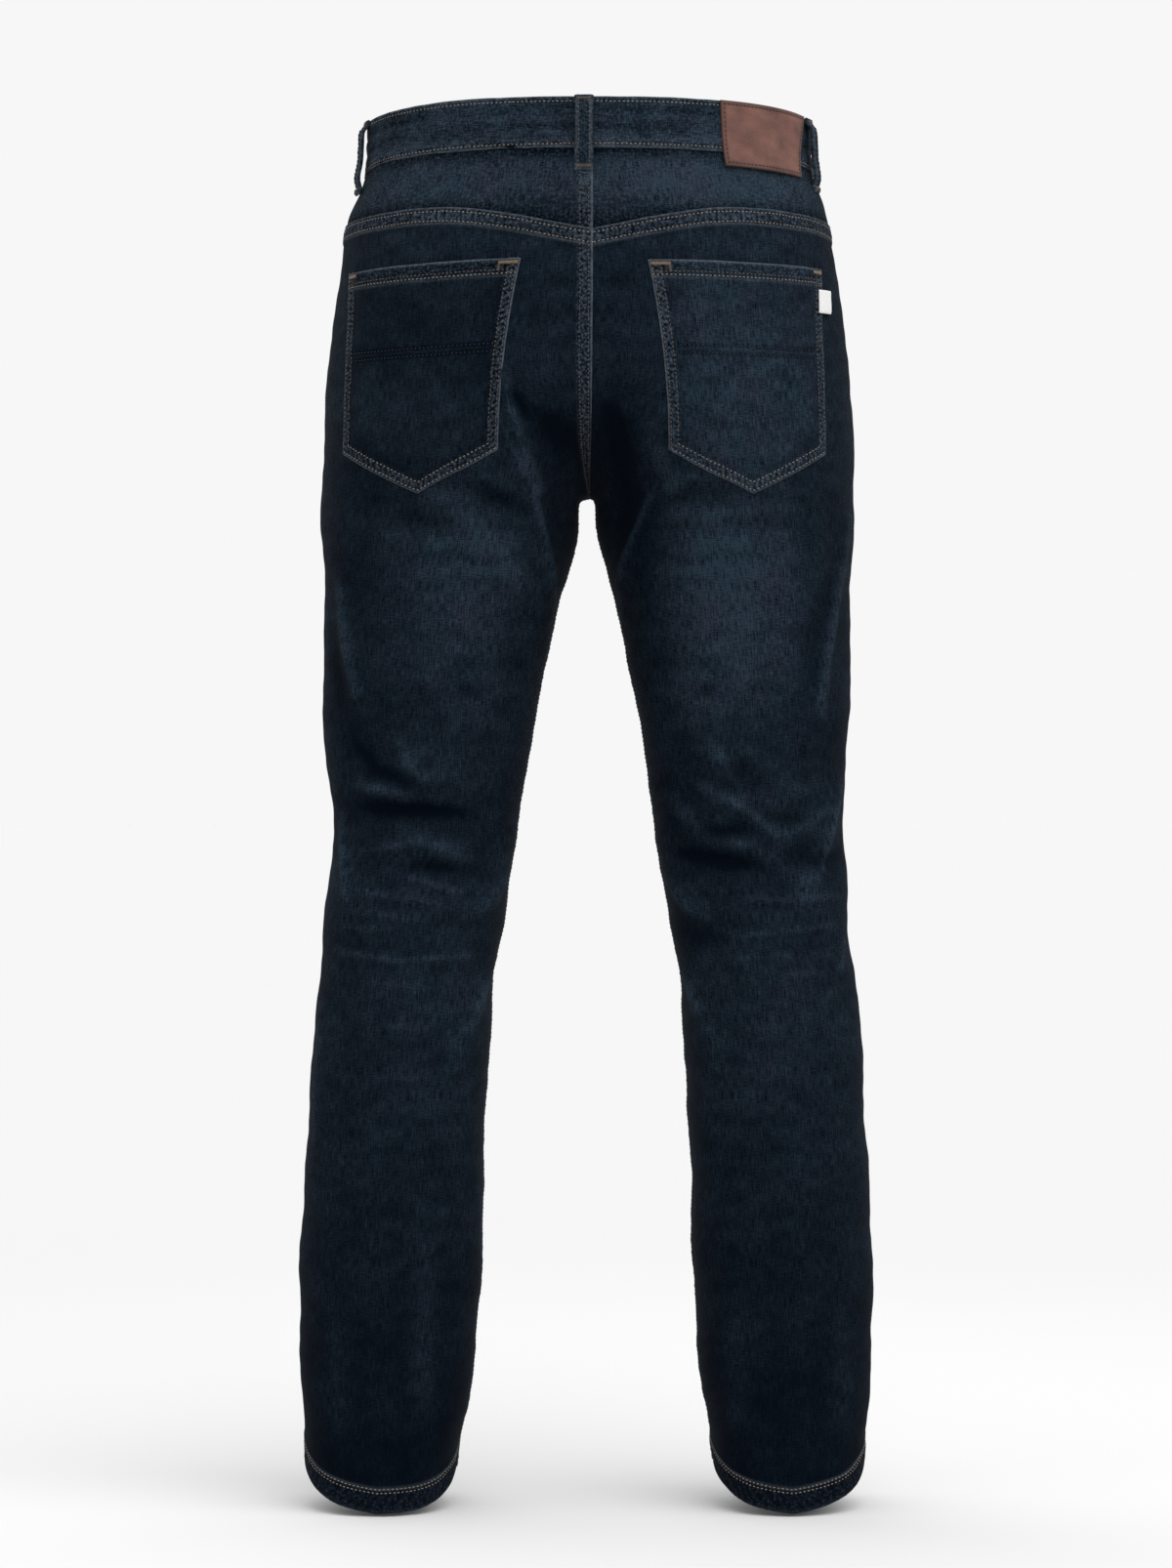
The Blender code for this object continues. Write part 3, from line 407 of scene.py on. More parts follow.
COLUMNS = dict(zip(SECTION_FIELDS, zip(*sorted(SECTIONS))))


def read_column(column, height):
    return smooth_values(COLUMNS["height"], COLUMNS[column], height)


def unit(vectors):
    return vectors / np.maximum(np.linalg.norm(vectors, axis=-1, keepdims=True), 1e-9)


def run_lengths(points, axis):
    """How far each point lies along its line of the grid."""
    steps = np.linalg.norm(np.diff(points, axis=axis), axis=-1)
    start = np.zeros_like(np.take(steps, [0], axis=axis))
    return np.concatenate((start, np.cumsum(steps, axis=axis)), axis=axis)


def edges_of(base):
    """How far each point of a grid lies from its four edges, along the cloth."""
    across, up = run_lengths(base, 1), run_lengths(base, 0)
    return across, across[:, -1:] - across, up, up[-1:] - up


def grid_parts(grid):
    """How far across each column and how far up each row of a grid lies, from 0 to 1."""
    columns, rows = grid
    return np.linspace(0, 1, columns + 1)[None, :], np.linspace(0, 1, rows + 1)[:, None]


def between(line, at):
    """A line's value at a place between two of its points."""
    low = min(int(at), len(line) - 2)
    return mix(line[low], line[low + 1], at - low)


def side_name(side):
    return "left" if side == LEFT else "right"


def slow_waves(across, up, seed, waves):
    """Uneven smooth waves over a piece. waves are (length, size)."""
    dice = np.random.default_rng(seed)
    total = 0.0
    for length, size in waves:
        turn, phase, bend = dice.uniform(0, 2 * math.pi, 3)
        along = across * math.cos(turn) + up * math.sin(turn)
        aside = up * math.cos(turn) - across * math.sin(turn)
        total = total + size * np.sin(2 * math.pi * along / length + phase
                                      + 1.4 * np.sin(2 * math.pi * aside / (1.7 * length) + bend))
    return total


# ---------------------------------------------------------------- the surface of the jeans
def oval(side, height):
    outer = read_column("outer_left" if side == LEFT else "outer_right", height)
    inner = np.maximum(read_column("inner_left" if side == LEFT else "inner_right", height), -outer)
    return SEAM_HALF_GAP + (outer + inner) / 2, (outer - inner) / 2


def open_crotch(side, across, height):
    arch = clamp((CROTCH_HEIGHT - height) / CROTCH_ARCH_RISE)
    arch = (1 - (1 - arch) ** 2.5) ** 0.4
    limit = SEAM_HALF_GAP + arch * CROTCH_ARCH[side]
    opened = (across + limit + np.hypot(across - limit, CROTCH_ARCH_BLEND * arch)) / 2
    return np.where(height < CROTCH_HEIGHT, opened, across)


def inner_angle(side, height):
    centre, half_width = oval(side, height)
    meeting = np.arccos(signed_power(clamp((SEAM_HALF_GAP - centre) / half_width, -1, 1), OVAL_POWER / 2))
    return np.minimum(meeting, math.pi - SEAM_HALF_GAP / read_column("back", height))


def plain_point(side, angle, height):
    """The surface without folds. The angle is -90 at the back, 0 at the outer side and 90 at the front."""
    centre, half_width = oval(side, height)
    depth = np.where(np.sin(angle) < 0, read_column("back", height), read_column("front", height))
    across = open_crotch(side, centre + half_width * signed_power(np.cos(angle), 2 / OVAL_POWER), height)
    return np.stack(np.broadcast_arrays(side * across, depth * signed_power(np.sin(angle), 2 / OVAL_POWER),
                                        height - ORIGIN_HEIGHT), axis=-1)


def outward(side, angle, height):
    turn, rise = 0.02, 1.0
    round_it = plain_point(side, angle + turn, height) - plain_point(side, angle - turn, height)
    up_it = plain_point(side, angle, height + rise) - plain_point(side, angle, height - rise)
    return unit(np.cross(round_it, up_it)) * side


def on_leg(side, angle, height):
    return plain_point(side, angle, height), outward(side, angle, height)


def pocket_hold(face_weight, x, height):
    """1 under a back pocket, which holds the panel flat."""
    across = np.abs(x)
    bottom = POCKET_POINT_HEIGHT + np.abs(across - POCKET_MIDDLE) * POCKET_BOTTOM_SLOPE
    inside = np.minimum(np.minimum(across - POCKET_INNER, POCKET_OUTER - across),
                        np.minimum(height - bottom, POCKET_MOUTH - height))
    return ease(1 + inside / POCKET_HOLD_FADE) * clamp(-face_weight * POCKET_BLEND)


def line_lift(x, height, line, width, depth):
    """A soft ridge or trough along a line of points, fuller at the middle of its length."""
    lengths = [math.dist(a, b) for a, b in zip(line, line[1:])]
    nearest = np.full(np.broadcast(x, height).shape, 1e9)
    way = np.zeros_like(nearest)
    run = 0.0
    for (x_start, h_start), (x_end, h_end), length in zip(line, line[1:], lengths):
        run_x, run_h = x_end - x_start, h_end - h_start
        near = clamp(((x - x_start) * run_x + (height - h_start) * run_h) / length ** 2)
        gap = np.hypot(x - x_start - near * run_x, height - h_start - near * run_h)
        way = np.where(gap < nearest, (run + near * length) / sum(lengths), way)
        nearest = np.minimum(nearest, gap)
        run += length
    swell = 0.55 + 0.45 * np.sin(math.pi * way)
    return np.where(nearest < 3 * width, depth * swell * np.exp(-(nearest / width) ** 2), 0.0)


def lines_lift(table, face_weight, x, height):
    """How far a table's lines lift the cloth, each on its own face and leg."""
    total = np.zeros(np.broadcast(x, height).shape)
    for face, rows in table.items():
        for width, depth, line in rows:
            lift = line_lift(x, height, line, width, depth) * clamp(face * face_weight * FACE_BLEND)
            total += np.where(line[0][0] * x < 0, 0.0, lift)
    return total


def fold_lift(face_weight, x, height):
    """How far the folds that the solids have lift the cloth."""
    return lines_lift(FOLDS, face_weight, x, height) * (1 - pocket_hold(face_weight, x, height))


def crease_lift(face_weight, x, height):
    """How far the finer creases lift the cloth."""
    held = pocket_hold(face_weight, x - CREASE_REACH * np.sign(x), height)
    return CREASE_DEPTH * lines_lift(CREASES, face_weight, x, height) * (1 - POCKET_CALM * held)


def cloth_waves(face_weight, x, height):
    """The cloth's own unevenness."""
    return slow_waves(x, height, 7, CLOTH_WAVES) * (1 - POCKET_CALM * pocket_hold(face_weight, x, height))


def angle_at(side, x, height, face):
    centre, half_width = oval(side, height)
    return face * np.arccos(signed_power(clamp((side * x - centre) / half_width, -1, 1), OVAL_POWER / 2))


def panel_angle(side, face, part, height):
    outseam = math.pi - face * (OUTSEAM_ANGLE + face * SEAM_HALF_GAP / read_column("front", height))
    cut_off = math.pi - inner_angle(side, height)
    power = clamp(0.75 * outseam / np.maximum(cut_off, 0.001), 1, 4)
    return face * (math.pi - outseam * part - cut_off * (1 - part) ** power)


def lapped_angle(side, face, part, height, lap):
    """A panel's angles, with its centre edge run on past the middle by lap."""
    past = signed_power(lap / oval(side, height)[1], OVAL_POWER / 2) * (1 - part) ** 2
    return panel_angle(side, face, part, height) + face * past


def seam_degrees(face, part, height):
    return 90 + np.degrees(panel_angle(RIGHT, face, part, np.asarray(height, float)))


def band_top(degrees):
    return BAND_TOP_BACK - BAND_DIP * ((1 - np.cos(np.radians(degrees))) / 2) ** BAND_DIP_POWER


def band_seam(degrees):
    return band_top(degrees) - BAND_WIDTH


def yoke_seam(degrees):
    part = degrees / 90
    rising = mix(YOKE_BACK, YOKE_PEAK, np.sin(np.minimum(part / YOKE_PEAK_AT, 1) * math.pi / 2))
    return np.where(part < YOKE_PEAK_AT, rising, mix(YOKE_PEAK, YOKE_SIDE, ease((part - YOKE_PEAK_AT)
                                                                              / (1 - YOKE_PEAK_AT))))


def scoop_edge(part):
    degrees = seam_degrees(FRONT, part, BAND_TOP_BACK - BAND_WIDTH)
    return band_seam(degrees) - SCOOP_DEPTH * (1 - (1 - clamp((part - SCOOP_START) / (1 - SCOOP_START))) ** SCOOP_POWER)


def hem_lift(side, angle):
    outer, inner = HEM_SIDE_LIFT[side]
    across = np.cos(angle)
    return HEM_LIFT * ease((1 + np.sin(angle)) / HEM_LIFT_REACH) + np.where(across > 0, outer, inner) * np.abs(across)


def panel_height(side, face, part, row):
    """Height of a panel's grid line, given by its height on the leg."""
    top_row = YOKE_PEAK if face == BACK else FRONT_TOP
    lifted = row + hem_lift(side, face * mix(math.pi, face * OUTSEAM_ANGLE, part)) * (1 - clamp(row / HEM_LIFT_FADE))
    top = yoke_seam(seam_degrees(BACK, part, YOKE_PEAK)) if face == BACK else scoop_edge(part)
    return lifted + (top - SEAM_HALF_GAP - top_row) * clamp((row - BLEND_HEIGHT) / (top_row - BLEND_HEIGHT))


def fly_raise(x, height):
    return FLY_RAISE * ease((FLY_WIDTH + x) / (FLY_WIDTH - 6)) * ease((height - FLY_BOTTOM + 15) / 12)


def round_the_body(degrees, height, offset=0.0):
    """Points and outward directions by the angle round from the centre back, + towards the right."""
    degrees = (np.asarray(degrees, float) + 180) % 360 - 180
    degrees, height, offset = np.broadcast_arrays(degrees, height, offset)
    angle = np.radians(np.abs(degrees) - 90)
    left = (degrees < 0)[..., None]
    point = np.where(left, plain_point(LEFT, angle, height), plain_point(RIGHT, angle, height))
    out = np.where(left, outward(LEFT, angle, height), outward(RIGHT, angle, height))
    lift = fold_lift(np.sin(angle), point[..., 0], height) + offset
    return point + out * lift[..., None], out


def degrees_at_front(x, height):
    side = LEFT if x < 0 else RIGHT
    return side * (math.degrees(angle_at(side, x, np.float64(height), FRONT)) + 90)


def band_lap_rise(degrees):
    """The left end lies over the right end, so it stands off by the band's own thickness."""
    return np.where(degrees < -90, (BAND_THICKNESS + 0.3) * (1 - ease(((degrees + 180) / 30 - 0.45) / 0.55)), 0.0)


# ---------------------------------------------------------------- relief of seams
def felled(distance, width, rise):
    """A folded edge that lies over its neighbour and ends in a soft step."""
    return rise * (1 - ease((distance - width) / FELL_SOFTNESS))


def grooved(distance, rows):
    return sum(-GROOVE_DEPTH * np.exp(-((distance - row) / GROOVE_WIDTH) ** 2) for row in rows)


def puckered(distance, along, rows, seed):
    """Small uneven ridges across the cloth between two rows of stitches."""
    middle, half = (rows[0] + rows[1]) / 2, (rows[1] - rows[0]) / 2
    window = np.exp(-((distance - middle) / (half * 0.9)) ** 4)
    wander = slow_waves(distance, along, seed, ((23, 1.2), (41, 1.4)))
    strength = 0.65 + 0.35 * np.sin(along / 19 + seed)
    return PUCKER * strength * window * np.sin(2 * math.pi * along / PUCKER_PITCH + wander)


def rubbed(pucker):
    """How worn the tops of puckers are."""
    return clamp(pucker / PUCKER) * 0.55 - clamp(-pucker / PUCKER) * 0.12


def tucked(distance):
    return -TUCK_DEPTH * np.exp(-(distance / TUCK_WIDTH) ** 2)


def edge_bell(distance, width=1.3):
    return np.exp(-(distance / width) ** 2)


def seam_strip(distance, width):
    """1 on a sewn strip that is width wide, where the cloth is thick and mottled."""
    return ease((width + 0.6 - distance) / 1.4)


def relief_of(lift=0.0, worn=0.0, strip=0.0):
    """How far a seam lifts the cloth, how worn and how mottled it is, as one array to scale and add up."""
    return np.stack(np.broadcast_arrays(lift, worn, strip))


def fell_relief(fell, distance, along):
    """A felled seam, by the distance from its folded edge."""
    pucker = puckered(distance, along, fell.rows, fell.seed)
    worn = fell.fold_worn * edge_bell(distance, fell.fold_reach) + fell.rub * rubbed(pucker)
    return relief_of(felled(distance, fell.width, fell.rise) + grooved(distance, fell.rows) + pucker,
                     worn + fell.step_worn * edge_bell(distance - fell.width, 1.0), seam_strip(distance, fell.width))


def centre_relief(side, across, up):
    """The seam down the centre back, where the left side is folded over the right."""
    return fell_relief(CENTRE_FELL, across, up) if side == LEFT else relief_of(tucked(across - CENTRE_TUCK_AT))


def outseam_relief(across_far):
    """The seam down the outer side, a tuck that is a little worn and mottled."""
    return relief_of(tucked(across_far), 0.35 * edge_bell(across_far, 2.2), 0.5 * edge_bell(across_far, 5.0))


def hem_relief(across, up):
    """A turned-up hem, sewn with two rows and roped a little."""
    hem = ease((HEM_FOLD - up) / 4) * ease(up / 3)
    roping = hem * np.sin(2 * math.pi * (across + 0.7 * up) / 8.7 + slow_waves(across, up, 3, ((37, 1.5),)))
    return relief_of(felled(up, HEM_FOLD, HEM_PROUD) + grooved(up, HEM_ROWS) + HEM_ROPING * roping,
                     0.22 * edge_bell(up) + 0.5 * edge_bell(up - HEM_FOLD, 0.9) + 0.05 * clamp(roping),
                     0.25 * seam_strip(up, HEM_FOLD))


def front_relief(side, part, height, above, across, up, down):
    """A front's scooped pocket edge, its inseam and the seam below the fly. above is 1 over the crotch."""
    relief = ease((part - SCOOP_START) / 0.04) * fell_relief(SCOOP_FELL, down, across)
    relief = relief + (1 - above) * fell_relief(INSEAM_FELL, across, up)
    below_fly = above * ease((FLY_BOTTOM - height) / 10)
    if side == RIGHT:
        return relief + below_fly * relief_of(tucked(across))
    seam = felled(across, INSEAM_FELL.width, 0.8) + grooved(across, INSEAM_FELL.rows)
    relief = relief + below_fly * relief_of(seam, 0.0, seam_strip(across, INSEAM_FELL.width))
    return relief + above * relief_of(0.0, 0.6 * edge_bell(across), seam_strip(across, 3.0))


# The first tone is how pale the dye is, with painted highlight and shade in it.
def tones_of(fade, worn, strip):
    return {"fade": clamp(fade), "worn": clamp(worn), "seam": clamp(strip)}


# ---------------------------------------------------------------- making meshes
def grid_faces(rows, columns, first=0):
    index = first + np.arange(rows * columns).reshape(rows, columns)
    return np.stack((index[:-1, :-1], index[:-1, 1:], index[1:, 1:], index[1:, :-1]), axis=-1).reshape(-1, 4)


def grid_edge(rows, columns):
    """Row and column of each point round a grid's edge."""
    last_row, last_column = rows - 1, columns - 1
    path = [(0, j) for j in range(last_column)] + [(i, last_column) for i in range(last_row)]
    path += [(last_row, j) for j in range(last_column, 0, -1)] + [(i, 0) for i in range(last_row, 0, -1)]
    return np.array(path)


def wall_mesh(name, outer, inner, uv, tones):
    """A closed wall: a fine outer face, a rounded rim and an inner face with every second line."""
    rows, columns = outer.shape[:2]
    coarse = inner[::2, ::2]
    inner_rows, inner_columns = coarse.shape[:2]
    edge = grid_edge(rows, columns)
    inner_edge = grid_edge(inner_rows, inner_columns)
    inside = np.clip(edge, 1, (rows - 2, columns - 2))
    rim_out, rim_in = outer[edge[:, 0], edge[:, 1]], inner[edge[:, 0], edge[:, 1]]
    away = unit(rim_out - outer[inside[:, 0], inside[:, 1]])
    thick = np.linalg.norm(rim_out - rim_in, axis=-1, keepdims=True)
    rim = (rim_out + rim_in) / 2 + away * np.minimum(thick, 3.0) * 0.3
    points = np.concatenate((outer.reshape(-1, 3), coarse.reshape(-1, 3), rim)) * MM
    count, inner_count = rows * columns, inner_rows * inner_columns
    outer_ids = edge[:, 0] * columns + edge[:, 1]
    inner_ids = count + inner_edge[:, 0] * inner_columns + inner_edge[:, 1]
    rim_ids = count + inner_count + np.arange(len(edge))
    outer_faces = grid_faces(rows, columns)
    side = np.stack((np.roll(outer_ids, -1), outer_ids, rim_ids, np.roll(rim_ids, -1)), axis=-1)
    even, odd, after = rim_ids[0::2], rim_ids[1::2], np.roll(rim_ids, -2)[0::2]
    inner_next = np.roll(inner_ids, -1)
    lips = np.concatenate((np.stack((odd, even, inner_ids), axis=-1), np.stack((odd, inner_ids, inner_next), axis=-1),
                           np.stack((after, odd, inner_next), axis=-1)))
    inner_faces = grid_faces(inner_rows, inner_columns, count)[:, ::-1]
    i, j = rows // 2, columns // 2
    facing = np.cross(outer[i, j + 1] - outer[i, j], outer[i + 1, j] - outer[i, j])
    if np.dot(facing, outer[i, j] - inner[i, j]) < 0:
        outer_faces, side, lips, inner_faces = (f[:, ::-1] for f in (outer_faces, side, lips, inner_faces))
    faces = outer_faces.tolist() + side.tolist() + lips.tolist() + inner_faces.tolist()
    mesh = bpy.data.meshes.new(name)
    mesh.from_pydata(points.tolist(), [], faces)
    mesh.shade_smooth()
    slots = np.zeros(len(faces), dtype=np.int32)
    slots[-len(inner_faces):] = 1
    mesh.polygons.foreach_set("material_index", slots)

    def spread(values):
        flat = values.reshape((count,) + values.shape[2:])
        few = values[::2, ::2].reshape((inner_count,) + values.shape[2:])
        return np.concatenate((flat, few, values[edge[:, 0], edge[:, 1]]))

    corners = np.empty(len(mesh.loops), dtype=np.int32)
    mesh.loops.foreach_get("vertex_index", corners)
    mesh.uv_layers.new(name="cloth").data.foreach_set("uv", (spread(uv) * MM)[corners].ravel())
    for tone, values in tones.items():
        shaped = np.broadcast_to(values, (rows, columns))
        mesh.attributes.new(tone, "FLOAT", "POINT").data.foreach_set("value", spread(shaped).astype(np.float32))
    return mesh


def show_piece(name, mesh, finishes, nodes=()):
    """Adds a finished piece to the scene, on the body that all of the jeans is."""
    for finish in finishes:
        mesh.materials.append(finish_material(finish))
    piece = bpy.data.objects.new(name, mesh)
    bpy.context.scene.collection.objects.link(piece)
    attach(piece, "root")
    if nodes:
        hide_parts(*nodes)
    return piece


def level_rise(base, up):
    """How far up the piece's middle line each point lies, by its height."""
    middle = up.shape[1] // 2
    height, line = base[..., 2], base[:, middle, 2]
    return np.interp(height, line, up[:, middle]) + np.minimum(height - line[0], 0) + np.maximum(height - line[-1], 0)


def cloth_piece(node, base, out, lift, inner_lift, tones,
                finishes=("denim", "denim_reverse"), cut_across=False, upright=False):
    """A sheet of cloth in a node's place: its outer face is lift off the base, its inner face inner_lift.

    The warp runs up the piece, or along it where it is cut across. The weft of an upright piece is level.
    """
    outer, inner = (base + out * np.broadcast_to(far, base.shape[:2])[..., None] for far in (lift, inner_lift))
    cloth = Cloth(outer, out, *edges_of(base))
    middle = cloth.across.shape[1] // 2
    flat = (cloth.across - cloth.across[:, middle:middle + 1], level_rise(base, cloth.up) if upright else cloth.up)
    uv = np.stack(flat[::-1] if cut_across else flat, axis=-1)
    mesh = wall_mesh(node + "_cloth", outer, inner, uv, tones)
    piece = show_piece(node + "_cloth", mesh, finishes, (node,))
    return cloth


def keep_sewing(kind, points, out):
    """Remembers a row of stitches: its points on the cloth, and which way is out of it."""
    SEWN[kind].append(Row(points + out * STITCH_LIFT, out))


def line_on(cloth, field, value, start=0.0, end=1.0):
    """Points on a cloth piece where its distance from one edge is a value, from start to end of its other way."""
    far, points, out = getattr(cloth, field), cloth.outer, cloth.out
    if field in ("up", "down"):
        far, points, out = far.T, points.transpose(1, 0, 2), out.transpose(1, 0, 2)
    found, facing = [], []
    last = far.shape[0] - 1
    for i in range(round(start * last), round(end * last) + 1):
        order = slice(None) if far[i, 0] < far[i, -1] else slice(None, None, -1)
        at = np.interp(value, far[i][order], np.arange(far.shape[1])[order])
        found.append(between(points[i], at))
        facing.append(between(out[i], at))
    return np.array(found), unit(np.array(facing))


def sew_rows(kind, cloth, field, rows, start=0.0, end=1.0):
    for row in rows:
        keep_sewing(kind, *line_on(cloth, field, row, start, end))


def fade_and_shade_over(face_weight, x, height, lift):
    """How pale the dye is, with painted light on it: soft worn spots and spots of painted shade, paler on ridges from
    wear and a painted highlight, and darker in troughs with painted shade.
    """
    total = FADE_BASE - FADE_LOW * ease(1 - height / LOW_FADE_TOP)
    for face, spots in FADES_AND_SHADES.items():
        for spot_x, spot_height, reach_across, reach_up, strength in spots:
            spot = np.exp(-((x - spot_x) / reach_across) ** 2 - ((height - spot_height) / reach_up) ** 2)
            total = total + strength * spot * clamp(face * face_weight * FACE_BLEND)
    # Ridges painted paler, partly for wear, and troughs painted darker, standing in for the light and shade of folds.
    total = total + RIDGE_WEAR_AND_HIGHLIGHT * np.maximum(lift, 0) + TROUGH_SHADE * np.minimum(lift, 0)
    return clamp(total + slow_waves(x, height, 21, FADE_WAVES))


# ---------------------------------------------------------------- leg panels, yokes and band
def panel_lines(face):
    """Heights of a panel's fine grid lines, closest at the hem, at the knee's creases and at the top."""
    top = YOKE_PEAK if face == BACK else FRONT_TOP
    knots = np.array((0, 24, 60, 400, 620, 770, 800, top - 24, top), float)
    closeness = np.array((1.6, 1.4, 0.8, 1.05, 1.0, 1.0, 1.5, 1.3, 1.8))
    heights = np.linspace(0, top, 2001)
    share = np.interp(heights, knots, closeness)
    share = np.concatenate(((0,), np.cumsum((share[1:] + share[:-1]) / 2)))
    return np.interp(np.linspace(0, share[-1], PANEL_GRID[face][1] + 1), share, heights)


def leg_panel(side, face):
    node = ("back_" if face == BACK else "front_") + side_name(side)
    part = np.linspace(0, 1, PANEL_GRID[face][0] + 1)[None, :]
    height = panel_height(side, face, part, panel_lines(face)[:, None])
    lap = 0.0
    if side == LEFT and face == FRONT:
        lap = (FLY_LAP + SEAM_HALF_GAP) * ease((height - FLY_BOTTOM + 2) / 12)
    elif side == LEFT:
        lap = CENTRE_LAP * ease((height - CROTCH_HEIGHT) / 14)
    angle = lapped_angle(side, face, part, height, lap)
    base, out = on_leg(side, angle, height)
    x, weight = base[..., 0], np.sin(angle)
    across, across_far, up, down = edges_of(base)
    folds, creases, waves = (lifted(weight, x, height) for lifted in (fold_lift, crease_lift, cloth_waves))
    raised = fly_raise(x, height) if side == LEFT and face == FRONT else 0.0
    above = ease((height - CROTCH_HEIGHT + 4) / 8)
    relief = outseam_relief(across_far) + hem_relief(across, up)
    if face == BACK:
        relief = relief + fell_relief(YOKE_FELL, down, across) + above * centre_relief(side, across, up)
        relief = relief + (1 - above) * relief_of(tucked(across))
    else:
        relief = relief + front_relief(side, part, height, above, across, up, down)
    seams, worn, strip = relief
    joined = above * np.exp(-(across / 12) ** 2) * clamp(1.5 * np.abs(out[..., 0]) - 0.2)
    lift = folds + (creases + waves + seams + raised) * (1 - joined) + 0.5 * joined
    inner_lift = folds + np.minimum(creases, 0.6 * creases) + waves + raised - DENIM - ease((HEM_FOLD - up) / 2)
    fade = fade_and_shade_over(weight, x, height, FOLD_TONE_SHARE * folds + creases)
    cloth = cloth_piece(node, base, out, lift, inner_lift, tones_of(fade, worn, strip), upright=True)
    last = height.shape[0] - 1
    crotch_row = np.argmax(height[:, 0] > CROTCH_HEIGHT + 3) / last
    sew_rows("topstitch", cloth, "up", HEM_ROWS)
    if face == BACK:
        sew_rows("topstitch", cloth, "down", YOKE_FELL.rows)
        if side == LEFT:
            sew_rows("sunken", cloth, "across", CENTRE_FELL.rows, crotch_row)
        return
    sew_rows("topstitch", cloth, "down", SCOOP_FELL.rows, SCOOP_START)
    sew_rows("topstitch", cloth, "across", INSEAM_FELL.rows, 0.02, crotch_row)
    if side == LEFT:
        fly_row = np.argmax(height[:, 0] > FLY_BOTTOM - FLY_CURVE_DROP) / last
        sew_rows("topstitch", cloth, "across", INSEAM_FELL.rows, crotch_row, fly_row)
        sew_rows("topstitch", cloth, "across", INSEAM_FELL.rows[:1], fly_row)
        sew_fly(cloth)


def sew_fly(cloth):
    """The double row that holds the fly's facing, straight down and then curving in to the seam."""
    curve_top = FLY_BOTTOM + FLY_WIDTH - FLY_CURVE_DROP
    for reach in (FLY_WIDTH, FLY_WIDTH - FLY_ROW_GAP):
        points, out = [], []
        for step in np.linspace(0, 1, 150):
            if step < FLY_STRAIGHT:
                far, height = reach, mix(band_seam(180.0), curve_top, step / FLY_STRAIGHT)
            else:
                turn = (step - FLY_STRAIGHT) / (1 - FLY_STRAIGHT) * math.pi / 2
                far, height = reach * math.cos(turn), curve_top - reach * math.sin(turn)
            i = int(np.argmin(np.abs(cloth.outer[:, 0, 2] + ORIGIN_HEIGHT - height)))
            at = np.interp(far, cloth.across[i], np.arange(cloth.across.shape[1]))
            points.append(between(cloth.outer[i], at))
            out.append(between(cloth.out[i], at))
        keep_sewing("topstitch", np.array(points), unit(np.array(out)))


def yoke(side):
    part, rise = grid_parts(YOKE_GRID)
    degrees = seam_degrees(BACK, part, YOKE_PEAK)
    height = mix(yoke_seam(degrees) - 1.5, band_seam(degrees) + 1.5, rise)
    angle = lapped_angle(side, BACK, part, height, CENTRE_LAP if side == LEFT else 0.0)
    base, out = on_leg(side, angle, height)
    x, weight = base[..., 0], np.sin(angle)
    across, across_far, up, down = edges_of(base)
    folds, creases, waves = (lifted(weight, x, height) for lifted in (fold_lift, crease_lift, cloth_waves))
    dips = -0.5 * edge_bell(up - 1.5, 2.4) - 0.4 * edge_bell(down - 1.5, 2.6)
    seams, worn, strip = outseam_relief(across_far) + relief_of(dips, 0.0, 0.35) + centre_relief(side, across, up)
    lift = folds + creases + waves
    fade = fade_and_shade_over(weight, x, height, FOLD_TONE_SHARE * folds + creases)
    # Painted shade: darker just under the band's lower edge, and just above the yoke seam where the back panel's lapped
    # edge stands over the yoke.
    fade = fade - 0.3 * edge_bell(down, 9.0) - 0.2 * edge_bell(up, 8.0)
    cloth = cloth_piece("yoke_" + side_name(side), base, out, lift + seams, lift - DENIM - 0.3,
                        tones_of(fade, worn, strip), upright=True)
    if side == LEFT:
        sew_rows("sunken", cloth, "across", CENTRE_FELL.rows, 0.06, 0.97)


